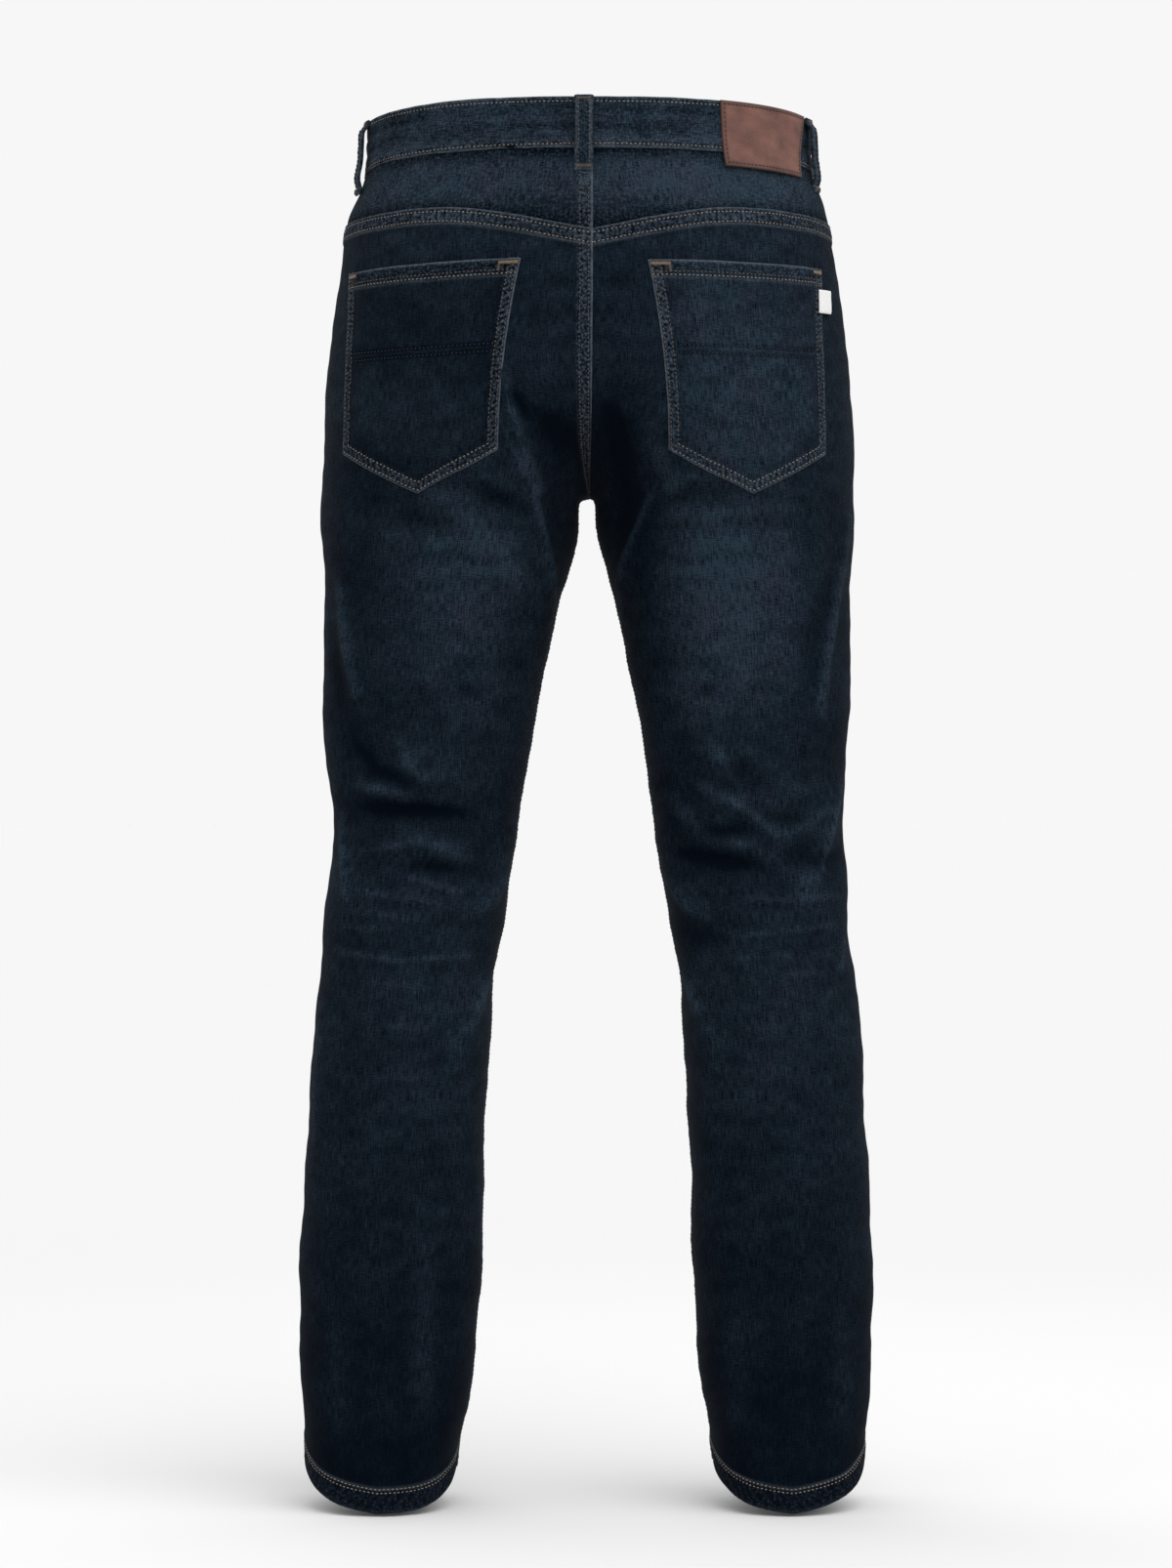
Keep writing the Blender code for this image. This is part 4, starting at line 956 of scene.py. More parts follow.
def waistband():
    front_height = band_seam(180.0)
    start = -360 + degrees_at_front(FLY_LAP, front_height)
    end = 360 + degrees_at_front(-BAND_LAP, front_height)
    part, rise = grid_parts(BAND_GRID)
    degrees = mix(start, end, part)
    height = mix(band_seam(degrees) - 0.8, band_top(degrees), rise)
    base, out = round_the_body(degrees, height, BAND_PROUD + band_lap_rise(degrees))
    across, _, up, down = edges_of(base)
    lift = slow_waves(across, up, 9, BAND_WAVES)
    for ripple_height, size, wander in BAND_RIPPLES:
        centre = ripple_height + 1.6 * np.sin(across / wander) + 0.9 * np.sin(across / 13 + wander)
        lift = lift + 1.5 * size * (0.6 + 0.4 * np.sin(across / (wander * 0.7))) * np.exp(-((up - centre) / 2.6) ** 2)
    lift = lift + grooved(up, BAND_ROWS_SEWN) + 0.35 * edge_bell(up - 5.5, 2.0)
    lift = lift + 0.16 * np.sin(2 * math.pi * across / 5.6) * np.exp(-((up - 4.5) / 2.4) ** 2)
    worn = 0.7 * edge_bell(up, 0.9) + 0.5 * edge_bell(down, 0.9) + 0.10 * edge_bell(up - 5.4, 1.8)
    # Paler on the ripples' tops and darker in their hollows: a little wear, with painted highlight and shade.
    fade = clamp(FADE_BASE + 0.30 + 0.30 * lift + slow_waves(across, up, 12, ((90, 0.05), (31, 0.03), (14, 0.02))))
    strip = 0.8 * seam_strip(up, 7.0) + 0.6 * seam_strip(down, 3.5) + 0.4
    past_lap = ease((across - BAND_LAP - FLY_LAP - 1) / 3) * ease((11 - up) / 6)
    inner_lift = -BAND_THICKNESS - band_lap_rise(degrees) * past_lap
    cloth = cloth_piece("waistband", base, out, lift, inner_lift, tones_of(fade, worn, strip),
                        finishes=("denim", "denim"), cut_across=True)
    sew_rows("topstitch", cloth, "up", BAND_ROWS_SEWN)
    for field in ("across", "across_far"):
        sew_rows("topstitch", cloth, field, (2.2,), 0.08, 0.92)


def belt_loop(node, degrees):
    seam = band_seam(float(degrees))
    near = [round_the_body(degrees + half, seam)[0] for half in (-0.5, 0.5)]
    half_turn = LOOP_WIDTH / 2 / float(np.linalg.norm(near[1] - near[0]))
    straight_out = round_the_body(degrees, seam + BAND_WIDTH / 2)[1]
    part, rise = grid_parts(LOOP_GRID)
    aside, knots = mix(-1, 1, part), np.arange(len(LOOP_HEIGHTS))
    above, stand = (smooth_values(knots, values, knots[-1] * rise) for values in (LOOP_HEIGHTS, LOOP_STAND))
    base = round_the_body(degrees + half_turn * aside, seam + above)[0]
    out = np.broadcast_to(straight_out, base.shape)
    base = base + out * (BAND_PROUD + band_lap_rise(np.float64(degrees)) + stand)[..., None]
    across, _, up, down = edges_of(base)
    edge = LOOP_WIDTH / 2 * (1 - np.abs(aside))
    lift = LOOP_THICKNESS - LOOP_SINK + 0.45 * edge_bell(edge - 2.2, 1.5) - 0.3 * edge_bell(edge, 0.9)
    lift = lift + 0.75 * ease((5.2 - up) / 1.4) - 0.5 * edge_bell(up, 1.0) + 0.55 * ease((4.4 - down) / 1.4)
    lift = lift + slow_waves(across, up, 17, ((14, 0.12), (8, 0.07)))
    worn = 0.5 * edge_bell(edge - 1.1, 0.8) + 0.4 * edge_bell(up - 5.2, 0.9) + 0.5 * edge_bell(up, 1.0)
    turned = unit(np.cross(np.gradient(base, axis=1), np.gradient(base, axis=0)))
    turned = turned * np.sign(np.sum(turned * out, axis=-1, keepdims=True))
    cloth = cloth_piece(node, base, turned, lift, -LOOP_SINK,
                        tones_of(0.22 + 0.1 * lift, worn, 0.45 + 0.5 * edge_bell(edge - 2.0, 2.0)),
                        finishes=("denim", "denim"))
    for field, row in (("up", 2.6), ("down", 2.4)):
        sew_rows("loop_bartack", cloth, field, (row,), 0.14, 0.86)
    for field in ("across", "across_far"):
        sew_rows("sunken", cloth, field, (2.6,), 0.07, 0.94)


# ---------------------------------------------------------------- pockets
def pocket_grid(pocket):
    across, up = grid_parts(POCKET_GRID)
    bow= POCKET_BOW * 4 * up * (1 - up) * pocket.side
    top_middle = [mix(a, b, 0.5) for a, b in zip(pocket.top_inner, pocket.top_outer)]
    inner_x = mix(pocket.bottom_inner[0], pocket.top_inner[0], up) + bow
    middle_x = mix(pocket.point[0], top_middle[0], up)
    outer_x = mix(pocket.bottom_outer[0], pocket.top_outer[0], up)
    inward = across < 0.5
    part = np.where(inward, across * 2, across * 2 - 1)
    low = np.where(inward, mix(pocket.bottom_inner[1], pocket.point[1], part),
                   mix(pocket.point[1], pocket.bottom_outer[1], part))
    height = mix(low, mix(pocket.top_inner[1], pocket.top_outer[1], across), up)
    start = angle_at(pocket.side, np.where(inward, inner_x, middle_x), height, BACK)
    end = angle_at(pocket.side, np.where(inward, middle_x, outer_x), height, BACK)
    return mix(start, end, part), height


def back_pocket(node, pocket):
    angle, height = pocket_grid(pocket)
    base, out = on_leg(pocket.side, angle, height)
    x, weight = base[..., 0], np.sin(angle)
    base = base + out * fold_lift(weight, x, height)[..., None]
    across, across_far, up, down = edges_of(base)
    low, sides = up * 0.9, np.minimum(across, across_far)
    edge = np.minimum(sides, low)
    lie = POCKET_LIE + POCKET_THICKNESS
    lift = lie + 0.55 * ease(edge / 40) + slow_waves(x, height, 7, POCKET_WAVES)
    lift = lift - 0.3 * edge_bell(edge, 0.8) + grooved(edge, POCKET_ROWS_SEWN) + grooved(down, POCKET_HEM_ROWS)
    pucker = puckered(sides, up, POCKET_ROWS_SEWN, 8)
    pucker = pucker + puckered(low, across, POCKET_ROWS_SEWN, 10) * ease((sides - 6) / 6)
    plain = sum(edge_bell(down - row, 1.3) for row in POCKET_PLAIN_ROWS) * ease((sides - 11) / 2)
    lift = lift + 0.4 * ease((14 - down) / 2) + pucker - 0.5 * plain
    lift = lift - 0.4 * np.exp(-((edge - 11) / 2.2) ** 2) * ease((down - 12) / 6)
    worn = 1.0 * edge_bell(across, 1.0) + 0.85 * edge_bell(low, 1.0) + 0.45 * edge_bell(across_far, 0.9)
    worn = worn + 0.8 * edge_bell(down, 1.0) + 0.3 * edge_bell(down - 13.2, 1.0) + rubbed(pucker)
    strip = seam_strip(edge, 9.4) + 0.6 * seam_strip(down, 13.0)
    # Painted light: the right pocket is painted paler and the left darker, as the key light from the right falls on
    # them.
    fade = fade_and_shade_over(weight, x, height, lift - lie) + (0.06 if pocket.side == RIGHT else -0.08) - 0.3 * plain
    fade = fade + 0.08 * ease((edge - 6) / 20) * ease((70 - (up - 10)) / 60)
    cloth = cloth_piece(node, base, out, lift, POCKET_LIE, tones_of(fade, worn, strip),
                        upright=True)
    for row in POCKET_ROWS_SEWN:
        sew_pocket_edge(cloth, low, row)
    for kind, row in zip(("sunken", "topstitch"), POCKET_HEM_ROWS):
        sew_rows(kind, cloth, "down", (row,), 0.015, 0.985)
    sew_rows("dark", cloth, "down", POCKET_PLAIN_ROWS, 0.076, 0.924)
    for start, end in ((0.012, 0.105), (0.925, 0.99)):
        sew_rows("bartack", cloth, "down", (2.8,), start, end)
    sew_rows("loop_bartack", cloth, "across", (15.5,), 0.94, 0.978)


def sew_pocket_edge(cloth, low, row):
    """One row down the inner edge, up the outer edge and along the pointed bottom."""
    rows, columns = cloth.across.shape

    def at(grid, i, j):
        below = min(int(i), rows - 2)
        return mix(between(grid[below], j), between(grid[below + 1], j), i - below)

    inner = [(i, np.interp(row, cloth.across[i], np.arange(columns))) for i in range(rows)]
    outer = [(i, np.interp(-row, -cloth.across_far[i], np.arange(columns))) for i in range(rows)]
    bottom = [(np.interp(row, low[:, j], np.arange(rows)), j) for j in range(columns)]
    sides = np.minimum(cloth.across, cloth.across_far)
    for kind, line, limit in (("sunken", inner, low), ("sunken", outer, low), ("topstitch", bottom, sides)):
        places = [(i, j) for i, j in line if limit[int(i), int(j)] >= row]
        keep_sewing(kind, *(np.array([at(grid, i, j) for i, j in places]) for grid in (cloth.outer, cloth.out)))


def pocket_tab():
    """A small white label, folded and caught in the right pocket's outer edge, left bare."""
    part, rise = grid_parts(TAB_GRID)
    x, height = np.broadcast_arrays(mix(*TAB_X, part), mix(*TAB_HEIGHTS, rise))
    base, out = on_leg(RIGHT, angle_at(RIGHT, x, height, BACK), height)
    across, _, up, down = edges_of(base)
    lie = POCKET_LIE + POCKET_THICKNESS + 0.55
    lift = lie + TAB_THICKNESS + 0.5 * ease(across / 9) + 0.15 * np.sin(up / 3.1)
    lift = lift - 0.25 * (edge_bell(up, 1.0) + edge_bell(down, 1.0))
    cloth_piece("pocket_tab", base, out, lift, lie + 0.4 * ease(across / 9), {},
                ("white_label", "white_label"))


def pocket_facing(side):
    part, rise = grid_parts(FACING_GRID)
    part = mix(FACING_START, 1, part)
    degrees = seam_degrees(FRONT, part, BAND_TOP_BACK - BAND_WIDTH)
    height = mix(scoop_edge(part) - FACING_HIDDEN, band_seam(degrees) + 1.0, rise)
    angle = panel_angle(side, FRONT, part, height)
    base, out = on_leg(side, angle, height)
    x = base[..., 0]
    lift = fold_lift(np.sin(angle), x, height) - DENIM - 0.5 + slow_waves(x, height, 14, ((60, 0.25), (27, 0.15)))
    lift = lift + 1.5 * ease((rise - 0.86) / 0.12) * ease((part - SCOOP_START - 0.02) / 0.05)
    cloth_piece("pocket_facing_" + side_name(side), base, out, lift, lift - 1.0, {"fade": FACING_FADE, "worn": 0.0})


# ---------------------------------------------------------------- patch, fly closing
def leather_patch():
    part, rise = grid_parts(PATCH_GRID)
    inner, outer = (mix(bottom, top, rise) for bottom, top in zip(PATCH_ANGLES_BOTTOM, PATCH_ANGLES_TOP))
    degrees = mix(inner, outer, part)
    height = band_top(degrees) + 0.3 - PATCH_HEIGHT * (1 - rise)
    base, out = round_the_body(degrees, height, BAND_PROUD + PATCH_LIE)
    across, across_far, up, down = edges_of(base)
    edge = np.minimum(np.minimum(across, across_far), np.minimum(up, down))
    lift = PATCH_THICKNESS - 0.35 * edge_bell(edge, 0.8) - 0.3 * edge_bell(edge - PATCH_SEWN, 0.8)
    lift = lift + slow_waves(across, up, 19, ((52, 0.3), (27, 0.2), (13, 0.08))) * ease(edge / 6)
    tones = {"worn": clamp(1.0 - ease((edge - 0.6) / 1.2) + 0.75 * edge_bell(edge - 2.7, 0.9))}
    cloth = Cloth(base + out * lift[..., None], out, across, across_far, up, down)
    mesh = wall_mesh("leather_patch_finished", cloth.outer, base, np.stack((across, up), axis=-1), tones)
    show_piece("leather_patch_finished", mesh, ("leather", "leather"), ("leather_patch",))
    for field, other in (("down", "across"), ("across_far", "down"), ("up", "across"), ("across", "down")):
        trim = PATCH_SEWN / float(getattr(cloth, other).max())
        sew_rows("leather", cloth, field, (PATCH_SEWN,), trim, 1 - trim)


def strip_behind_fly(node, size, depth_at, thickness, finishes):
    """A strip behind the centre front, hanging from the band's lower edge."""
    half_width, length = size
    part, rise = grid_parts(STRIP_GRID)
    top = float(band_seam(180.0)) - 0.3
    x, height = np.broadcast_arrays(mix(-half_width, half_width, part), mix(top - length, top, rise))
    sides = [on_leg(side, angle_at(side, x, height, FRONT), height) for side in (LEFT, RIGHT)]
    base, out = (np.where((x < 0)[..., None], left, right) for left, right in zip(*sides))
    lift = -depth_at(x)
    return cloth_piece(node, base, out, lift, lift - thickness, {"fade": PLAIN_FADE, "worn": 0.0},
                       finishes)


def zip_depth(x):
    sunk = ZIP_SINK * ease(1.4 - np.abs(x) / ZIP_SINK_WIDTH)
    return DENIM + 0.6 + sunk - ZIP_CHAIN_PROUD * ease((ZIP_CHAIN_WIDTH + 0.4 - np.abs(x)) / 0.8)


def shield_depth(x):
    return DENIM + 2.1 + ZIP_SINK * ease(1.5 - np.abs(x) / (ZIP_SINK_WIDTH + 3))


def fly_closing():
    """The zip's tape and teeth, the shield behind it, and the metal that the solids already shape."""
    tape = strip_behind_fly("zip", ZIP_SIZE, zip_depth, 1.0, ("zip_tape", "zip_tape"))
    strip_behind_fly("fly_shield", SHIELD_SIZE, shield_depth, DENIM, ("denim", "denim_reverse"))
    points, facing = line_on(tape, "across", ZIP_SIZE[0], 0.03, 0.97)
    chain = [Row(points + facing * TEETH_LIFT, facing)]
    teeth = repeat_along(chain, "zip_teeth", TEETH_PITCH, TEETH_SIZE, "brass", "box")
    show_piece("zip_teeth", teeth, ())
    for node in ("waist_button", "zip_slider"):
        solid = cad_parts[node]
        solid.data.materials.clear()
        solid.data.materials.append(finish_material("brass"))


# ---------------------------------------------------------------- repeated shapes along rows
def repeat_tree(shape):
    """Geometry Nodes that set one small shape along every row, lying on the cloth."""
    name = "repeated_" + shape
    tree = bpy.data.node_groups.get(name)
    if tree:
        return tree
    tree = bpy.data.node_groups.new(name, "GeometryNodeTree")
    sockets = tree.interface
    sockets.new_socket("Rows", in_out="INPUT", socket_type="NodeSocketGeometry")
    for label, kind in (("Pitch", "NodeSocketFloat"), ("Size", "NodeSocketVector"), ("Seed", "NodeSocketInt"),
                        ("Finish", "NodeSocketMaterial")):
        sockets.new_socket(label, in_out="INPUT", socket_type=kind)
    sockets.new_socket("Stitches", in_out="OUTPUT", socket_type="NodeSocketGeometry")
    nodes, links = tree.nodes, tree.links

    def add(kind, **settings):
        node = nodes.new(kind)
        for setting, value in settings.items():
            setattr(node, setting, value)
        return node

    start, finish = add("NodeGroupInput"), add("NodeGroupOutput")
    curve, spaced = add("GeometryNodeMeshToCurve"), add("GeometryNodeResampleCurve", mode="LENGTH")
    along = add("FunctionNodeAlignRotationToVector", axis="X")
    flat = add("FunctionNodeAlignRotationToVector", axis="Z", pivot_axis="X")
    tangent = add("GeometryNodeInputTangent")
    out = add("GeometryNodeInputNamedAttribute", data_type="FLOAT_VECTOR")
    out.inputs["Name"].default_value = "out"
    if shape == "box":
        single = add("GeometryNodeMeshCube")
        single.inputs["Size"].default_value = (1, 1, 1)
    else:
        single = add("GeometryNodeMeshUVSphere")
        single.inputs["Segments"].default_value = 6
        single.inputs["Rings"].default_value = 4
        single.inputs["Radius"].default_value = 0.5
    shaped = add("GeometryNodeTransform")
    placed, real = add("GeometryNodeInstanceOnPoints"), add("GeometryNodeRealizeInstances")
    uneven = add("FunctionNodeRandomValue", data_type="FLOAT_VECTOR")
    uneven.inputs["Min"].default_value = (0.88, 0.9, 0.9)
    uneven.inputs["Max"].default_value = (1.06, 1.08, 1.08)
    smooth, coloured = add("GeometryNodeSetShadeSmooth"), add("GeometryNodeSetMaterial")
    smooth.inputs["Shade Smooth"].default_value = shape != "box"
    for source, target in (
            (start.outputs["Rows"], curve.inputs["Mesh"]), (curve.outputs["Curve"], spaced.inputs["Curve"]),
            (start.outputs["Pitch"], spaced.inputs["Length"]), (spaced.outputs["Curve"], placed.inputs["Points"]),
            (tangent.outputs["Tangent"], along.inputs["Vector"]), (along.outputs["Rotation"], flat.inputs["Rotation"]),
            (out.outputs["Attribute"], flat.inputs["Vector"]), (flat.outputs["Rotation"], placed.inputs["Rotation"]),
            (single.outputs["Mesh"], shaped.inputs["Geometry"]), (start.outputs["Size"], shaped.inputs["Scale"]),
            (shaped.outputs["Geometry"], placed.inputs["Instance"]), (start.outputs["Seed"], uneven.inputs["Seed"]),
            (uneven.outputs["Value"], placed.inputs["Scale"]), (placed.outputs["Instances"], real.inputs["Geometry"]),
            (real.outputs["Geometry"], smooth.inputs["Geometry"]),
            (smooth.outputs["Geometry"], coloured.inputs["Geometry"]),
            (start.outputs["Finish"], coloured.inputs["Material"]),
            (coloured.outputs["Geometry"], finish.inputs["Stitches"])):
        links.new(source, target)
    return tree


def repeat_along(rows, name, pitch, size, finish, shape="thread"):
    """A plain mesh of small shapes along rows, made by the node tree. Sizes are in millimetres."""
    points, outs, edges = [], [], []
    for row in rows:
        first = len(points)
        points += (row.points * MM).tolist()
        outs += row.out.tolist()
        edges += [(i, i + 1) for i in range(first, len(points) - 1)]
    path = bpy.data.meshes.new(name + "_rows")
    path.from_pydata(points, edges, [])
    path.attributes.new("out", "FLOAT_VECTOR", "POINT").data.foreach_set("vector", np.array(outs, np.float32).ravel())
    holder = bpy.data.objects.new(name + "_rows", path)
    bpy.context.scene.collection.objects.link(holder)
    repeated = holder.modifiers.new("repeated", "NODES")
    repeated.node_group = repeat_tree(shape)
    values = {"Pitch": pitch * MM, "Size": [side * MM for side in size], "Seed": 11,
              "Finish": finish_material(finish)}
    for socket in repeated.node_group.interface.items_tree:
        if socket.item_type == "SOCKET" and socket.in_out == "INPUT" and socket.name in values:
            repeated[socket.identifier] = values[socket.name]
    graph = bpy.context.evaluated_depsgraph_get()
    mesh = bpy.data.meshes.new_from_object(holder.evaluated_get(graph), depsgraph=graph)
    mesh.name = name
    bpy.data.objects.remove(holder)
    bpy.data.meshes.remove(path)
    return mesh


# ---------------------------------------------------------------- finishes
class Finish:
    """A material and the nodes that feed its shader."""

    def __init__(self, name, **settings):
        self.material = bpy.data.materials.new("finished_" + name)
        self.material.use_nodes = True
        self.tree = self.material.node_tree
        self.shader = self.tree.nodes["Principled BSDF"]
        for label, value in settings.items():
            self.shader.inputs[label.replace("_", " ")].default_value = value

    def add(self, kind, inputs=(), **settings):
        """Adds a node. inputs are (socket, value or output to link)."""
        node = self.tree.nodes.new(kind)
        for setting, value in settings.items():
            setattr(node, setting, value)
        for socket, value in inputs:
            if isinstance(value, bpy.types.NodeSocket):
                self.tree.links.new(value, node.inputs[socket])
            else:
                node.inputs[socket].default_value = value
        return node

    def maths(self, operation, first, second=0.0, clamped=False):
        return self.add("ShaderNodeMath", ((0, first), (1, second)), operation=operation, use_clamp=clamped).outputs[0]

    def plus(self, first, second, clamped=False):
        return self.maths("ADD", first, second, clamped)

    def times(self, first, second, clamped=False):
        return self.maths("MULTIPLY", first, second, clamped)

    def swing(self, noise, size):
        """Noise from 0 to 1, moved to swing evenly about 0."""
        return self.times(self.maths("SUBTRACT", noise, 0.5), size)

    def blended(self, part, first, second):
        node = self.add("ShaderNodeMix", (("Factor", part), (6, first), (7, second)), data_type="RGBA")
        return node.outputs[2]

    def tone(self, name):
        return self.add("ShaderNodeAttribute", attribute_name=name).outputs["Fac"]

    def noise(self, vector, scale, detail):
        return self.add("ShaderNodeTexNoise", (("Vector", vector), ("Scale", scale), ("Detail", detail))).outputs["Fac"]

    def spots(self, vector, stretch, detail):
        """Noise from 0 to 1 over flat coordinates in millimetres, whose spots are stretch long across and up."""
        scale = [1 / side for side in (*stretch, 1.0)]
        return self.noise(self.add("ShaderNodeMapping", (("Vector", vector), ("Scale", scale))).outputs[0], 1.0, detail)

    def object_place(self):
        return self.add("ShaderNodeTexCoord").outputs["Object"]

    def cloth_place(self):
        """The cloth's own flat coordinates, in millimetres."""
        place = self.add("ShaderNodeUVMap", uv_map="cloth").outputs[0]
        return self.add("ShaderNodeMapping", (("Vector", place), ("Scale", (1000, 1000, 1000)))).outputs[0]

    def bump(self, height, depth, strength):
        node = self.add("ShaderNodeBump", (("Height", height), ("Distance", depth * MM), ("Strength", strength)))
        self.tree.links.new(node.outputs[0], self.shader.inputs["Normal"])

    def colour(self, source):
        self.tree.links.new(source, self.shader.inputs["Base Color"])


def shade(colour, part=1.0):
    """An opaque colour, made part as bright."""
    return (*(part * tone for tone in colour), 1.0)


def denim_finish(name, reverse=False):
    """Twill: warp and weft slubs, a fine diagonal rib, washed-out spots with the painted highlight and shade that the
    cloth's tone carries, and paler folded edges.
    """
    denim = bpy.context.scene.jeans_denim
    finish = Finish(name, Roughness=0.9, Specular_IOR_Level=0.02, Sheen_Weight=0.008, Sheen_Roughness=0.45)
    place, plus, times = finish.cloth_place(), finish.plus, finish.times
    warp = finish.spots(place, (0.8, 10.0), 2.0)
    weft = times(finish.spots(place, (5.0, 0.8), 2.0), 0.85)
    cloud = finish.spots(place, (1.5, 1.8), 3.0)
    streak = finish.spots(place, (1.0, 22.0), 1.0)
    smear = finish.spots(place, (22.0, 12.0), 3.0)
    mottle = finish.spots(place, (2.3, 2.3), 1.5)
    cast = finish.spots(place, (38.0, 52.0), 2.0)
    apart = finish.add("ShaderNodeSeparateXYZ", ((0, place),))
    slant = plus(times(apart.outputs[0], -1.0 if reverse else 1.0), times(apart.outputs[1], 0.62))
    rib = finish.maths("SINE", times(slant, 2 * math.pi / denim.twill_pitch / 1.18))
    bright = finish.maths("MAXIMUM", finish.maths("SUBTRACT", streak, 0.58), 0.0)
    grain = times(plus(warp, weft), denim.slub * 6.0)
    for part, strength in ((cloud, 0.9), (rib, 0.3), (bright, 7.0)):
        grain = plus(grain, times(part, denim.slub * strength))
    grain = finish.maths("SUBTRACT", grain, denim.slub * 6.05)
    lit = times(finish.maths("MAXIMUM", plus(grain, 1.0), 0.3), plus(times(smear, 1.8), 0.1))
    rough = times(finish.maths("SUBTRACT", mottle, 0.5), finish.tone("seam"))
    # The tone read here holds the dye's fade together with the painted highlight and shade on folds, seams and edges.
    faded = plus(times(finish.tone("fade"), lit), times(grain, 0.035))
    faded = plus(faded, times(rough, 1.7), True)
    if reverse:
        faded = plus(times(faded, 0.5), 0.7, True)
    pale = finish.blended(plus(finish.swing(cast, 3.0), 0.35, True), shade(denim.faded), shade(denim.greyed))
    dyed = finish.blended(faded, shade(denim.deep), pale)
    worn = plus(finish.tone("worn"), times(finish.maths("MAXIMUM", rough, 0.0), 2.6))
    worn = times(worn, plus(times(grain, 0.4), 0.85), True)
    finish.colour(finish.blended(worn, dyed, shade(denim.worn)))
    finish.bump(plus(times(rib, 0.22), plus(warp, weft)), 0.22, 0.75)
    return finish.material


def thread_finish(name, colour):
    finish = Finish(name, Roughness=0.62, Specular_IOR_Level=0.25)
    noise = finish.noise(finish.object_place(), 260.0, 2.0)
    finish.colour(finish.blended(noise, shade(colour, 0.5), shade(colour)))
    return finish.material


def leather_finish(name, colour):
    finish = Finish(name, Roughness=0.68, Specular_IOR_Level=0.22)
    place = finish.cloth_place()
    cloud, grain = finish.spots(place, (20.0, 15.0), 5.0), finish.spots(place, (0.9, 0.9), 3.0)
    blotched = finish.plus(finish.plus(finish.swing(cloud, 2.0), 0.5), finish.swing(grain, 0.9), True)
    shown = finish.blended(blotched, shade(colour, 0.60), shade(colour, 1.45))
    edge = finish.times(finish.tone("worn"), 0.85, True)
    finish.colour(finish.blended(edge, shown, shade(colour, 0.30)))
    finish.bump(finish.plus(grain, cloud), 0.18, 0.7)
    return finish.material


def woven_finish(name, colour):
    """Plain close weave, for the tab and the zip's tape."""
    finish = Finish(name, Roughness=0.8, Specular_IOR_Level=0.12)
    place = finish.cloth_place()
    apart = finish.add("ShaderNodeSeparateXYZ", ((0, place),))
    ribs = [finish.maths("SINE", finish.times(apart.outputs[way], 2 * math.pi / 0.6)) for way in (0, 1)]
    finish.colour(finish.blended(finish.spots(place, (3.0, 3.0), 3.0), shade(colour, 0.86), shade(colour)))
    finish.bump(finish.times(*ribs), 0.1, 0.5)
    return finish.material


def metal_finish(name, colour):
    finish = Finish(name, Metallic=1.0, Roughness=0.38)
    noise = finish.noise(finish.object_place(), 420.0, 3.0)
    finish.colour(finish.blended(noise, shade(colour, 0.6), shade(colour)))
    return finish.material


MADE_FINISHES = {}


def finish_material(name):
    """The material of that name, made when it is first asked for."""
    if name not in MADE_FINISHES:
        MADE_FINISHES[name] = new_finish(name)
    return MADE_FINISHES[name]


def new_finish(name):
    scene = bpy.context.scene
    sewing, trims = scene.jeans_sewing, scene.jeans_trims
    if name == "denim":
        return denim_finish(name)
    if name == "denim_reverse":
        return denim_finish(name, True)
    if name == "leather":
        return leather_finish(name, trims.leather)
    if name in ("white_label", "zip_tape"):
        return woven_finish(name, trims.label if name == "white_label" else trims.tape)
    if name == "brass":
        return metal_finish(name, trims.metal)
    return thread_finish(name, getattr(sewing, name))


# ---------------------------------------------------------------- settings
def colour_setting(name, description, default):
    return FloatVectorProperty(name=name, description=description, default=default, subtype="COLOR", min=0, max=1)


def number_setting(name, description, default, low, high):
    return FloatProperty(name=name, description=description, default=default, min=low, max=high)


class JeansDenim(PropertyGroup):
    deep: colour_setting("Deep dye", "Where the indigo hasn't washed out", (0.0009, 0.0023, 0.0049))
    faded: colour_setting("Faded dye", "Where the indigo has washed out most", (0.0170, 0.0302, 0.0440))
    greyed: colour_setting("Greyed dye", "Washed-out patches that turn grey", (0.0200, 0.0270, 0.0415))
    worn: colour_setting("Worn edges", "Folded edges, where the dye has rubbed off", (0.060, 0.074, 0.092))
    twill_pitch: number_setting("Twill pitch", "From one diagonal rib to the next, in millimetres", 0.9, 0.3, 3.0)
    slub: number_setting("Slub", "How uneven the warp and weft are", 0.62, 0.0, 2.0)


class JeansSewing(PropertyGroup):
    pitch: number_setting("Stitch pitch", "From one stitch to the next, in millimetres", 3.4, 1.0, 8.0)
    length: number_setting("Stitch length", "Length of the thread that shows, in millimetres", 2.1, 0.5, 8.0)
    width: number_setting("Thread width", "Width of the thread, in millimetres", 0.98, 0.2, 2.0)
    thickness: number_setting("Thread height", "How far the thread stands up, in millimetres", 0.55, 0.1, 2.0)
    bartack_pitch: number_setting("Bartack pitch", "Between a bartack's stitches, in millimetres", 0.62, 0.3, 2.0)
    bartack_width: number_setting("Bartack width", "Across a bartack, in millimetres", 3.2, 1.0, 8.0)
    tan_thread: colour_setting("Tan thread", "Topstitching", (0.215, 0.172, 0.136))
    dull_thread: colour_setting("Dull thread", "Topstitching that has sunk into thick seams", (0.085, 0.066, 0.054))
    gold_thread: colour_setting("Golden thread", "Bartacks at the pockets", (0.200, 0.140, 0.086))
    dark_thread: colour_setting("Dark thread", "Plain rows across the pockets", (0.008, 0.011, 0.018))
    brown_thread: colour_setting("Brown thread", "Round the leather patch", (0.018, 0.008, 0.006))


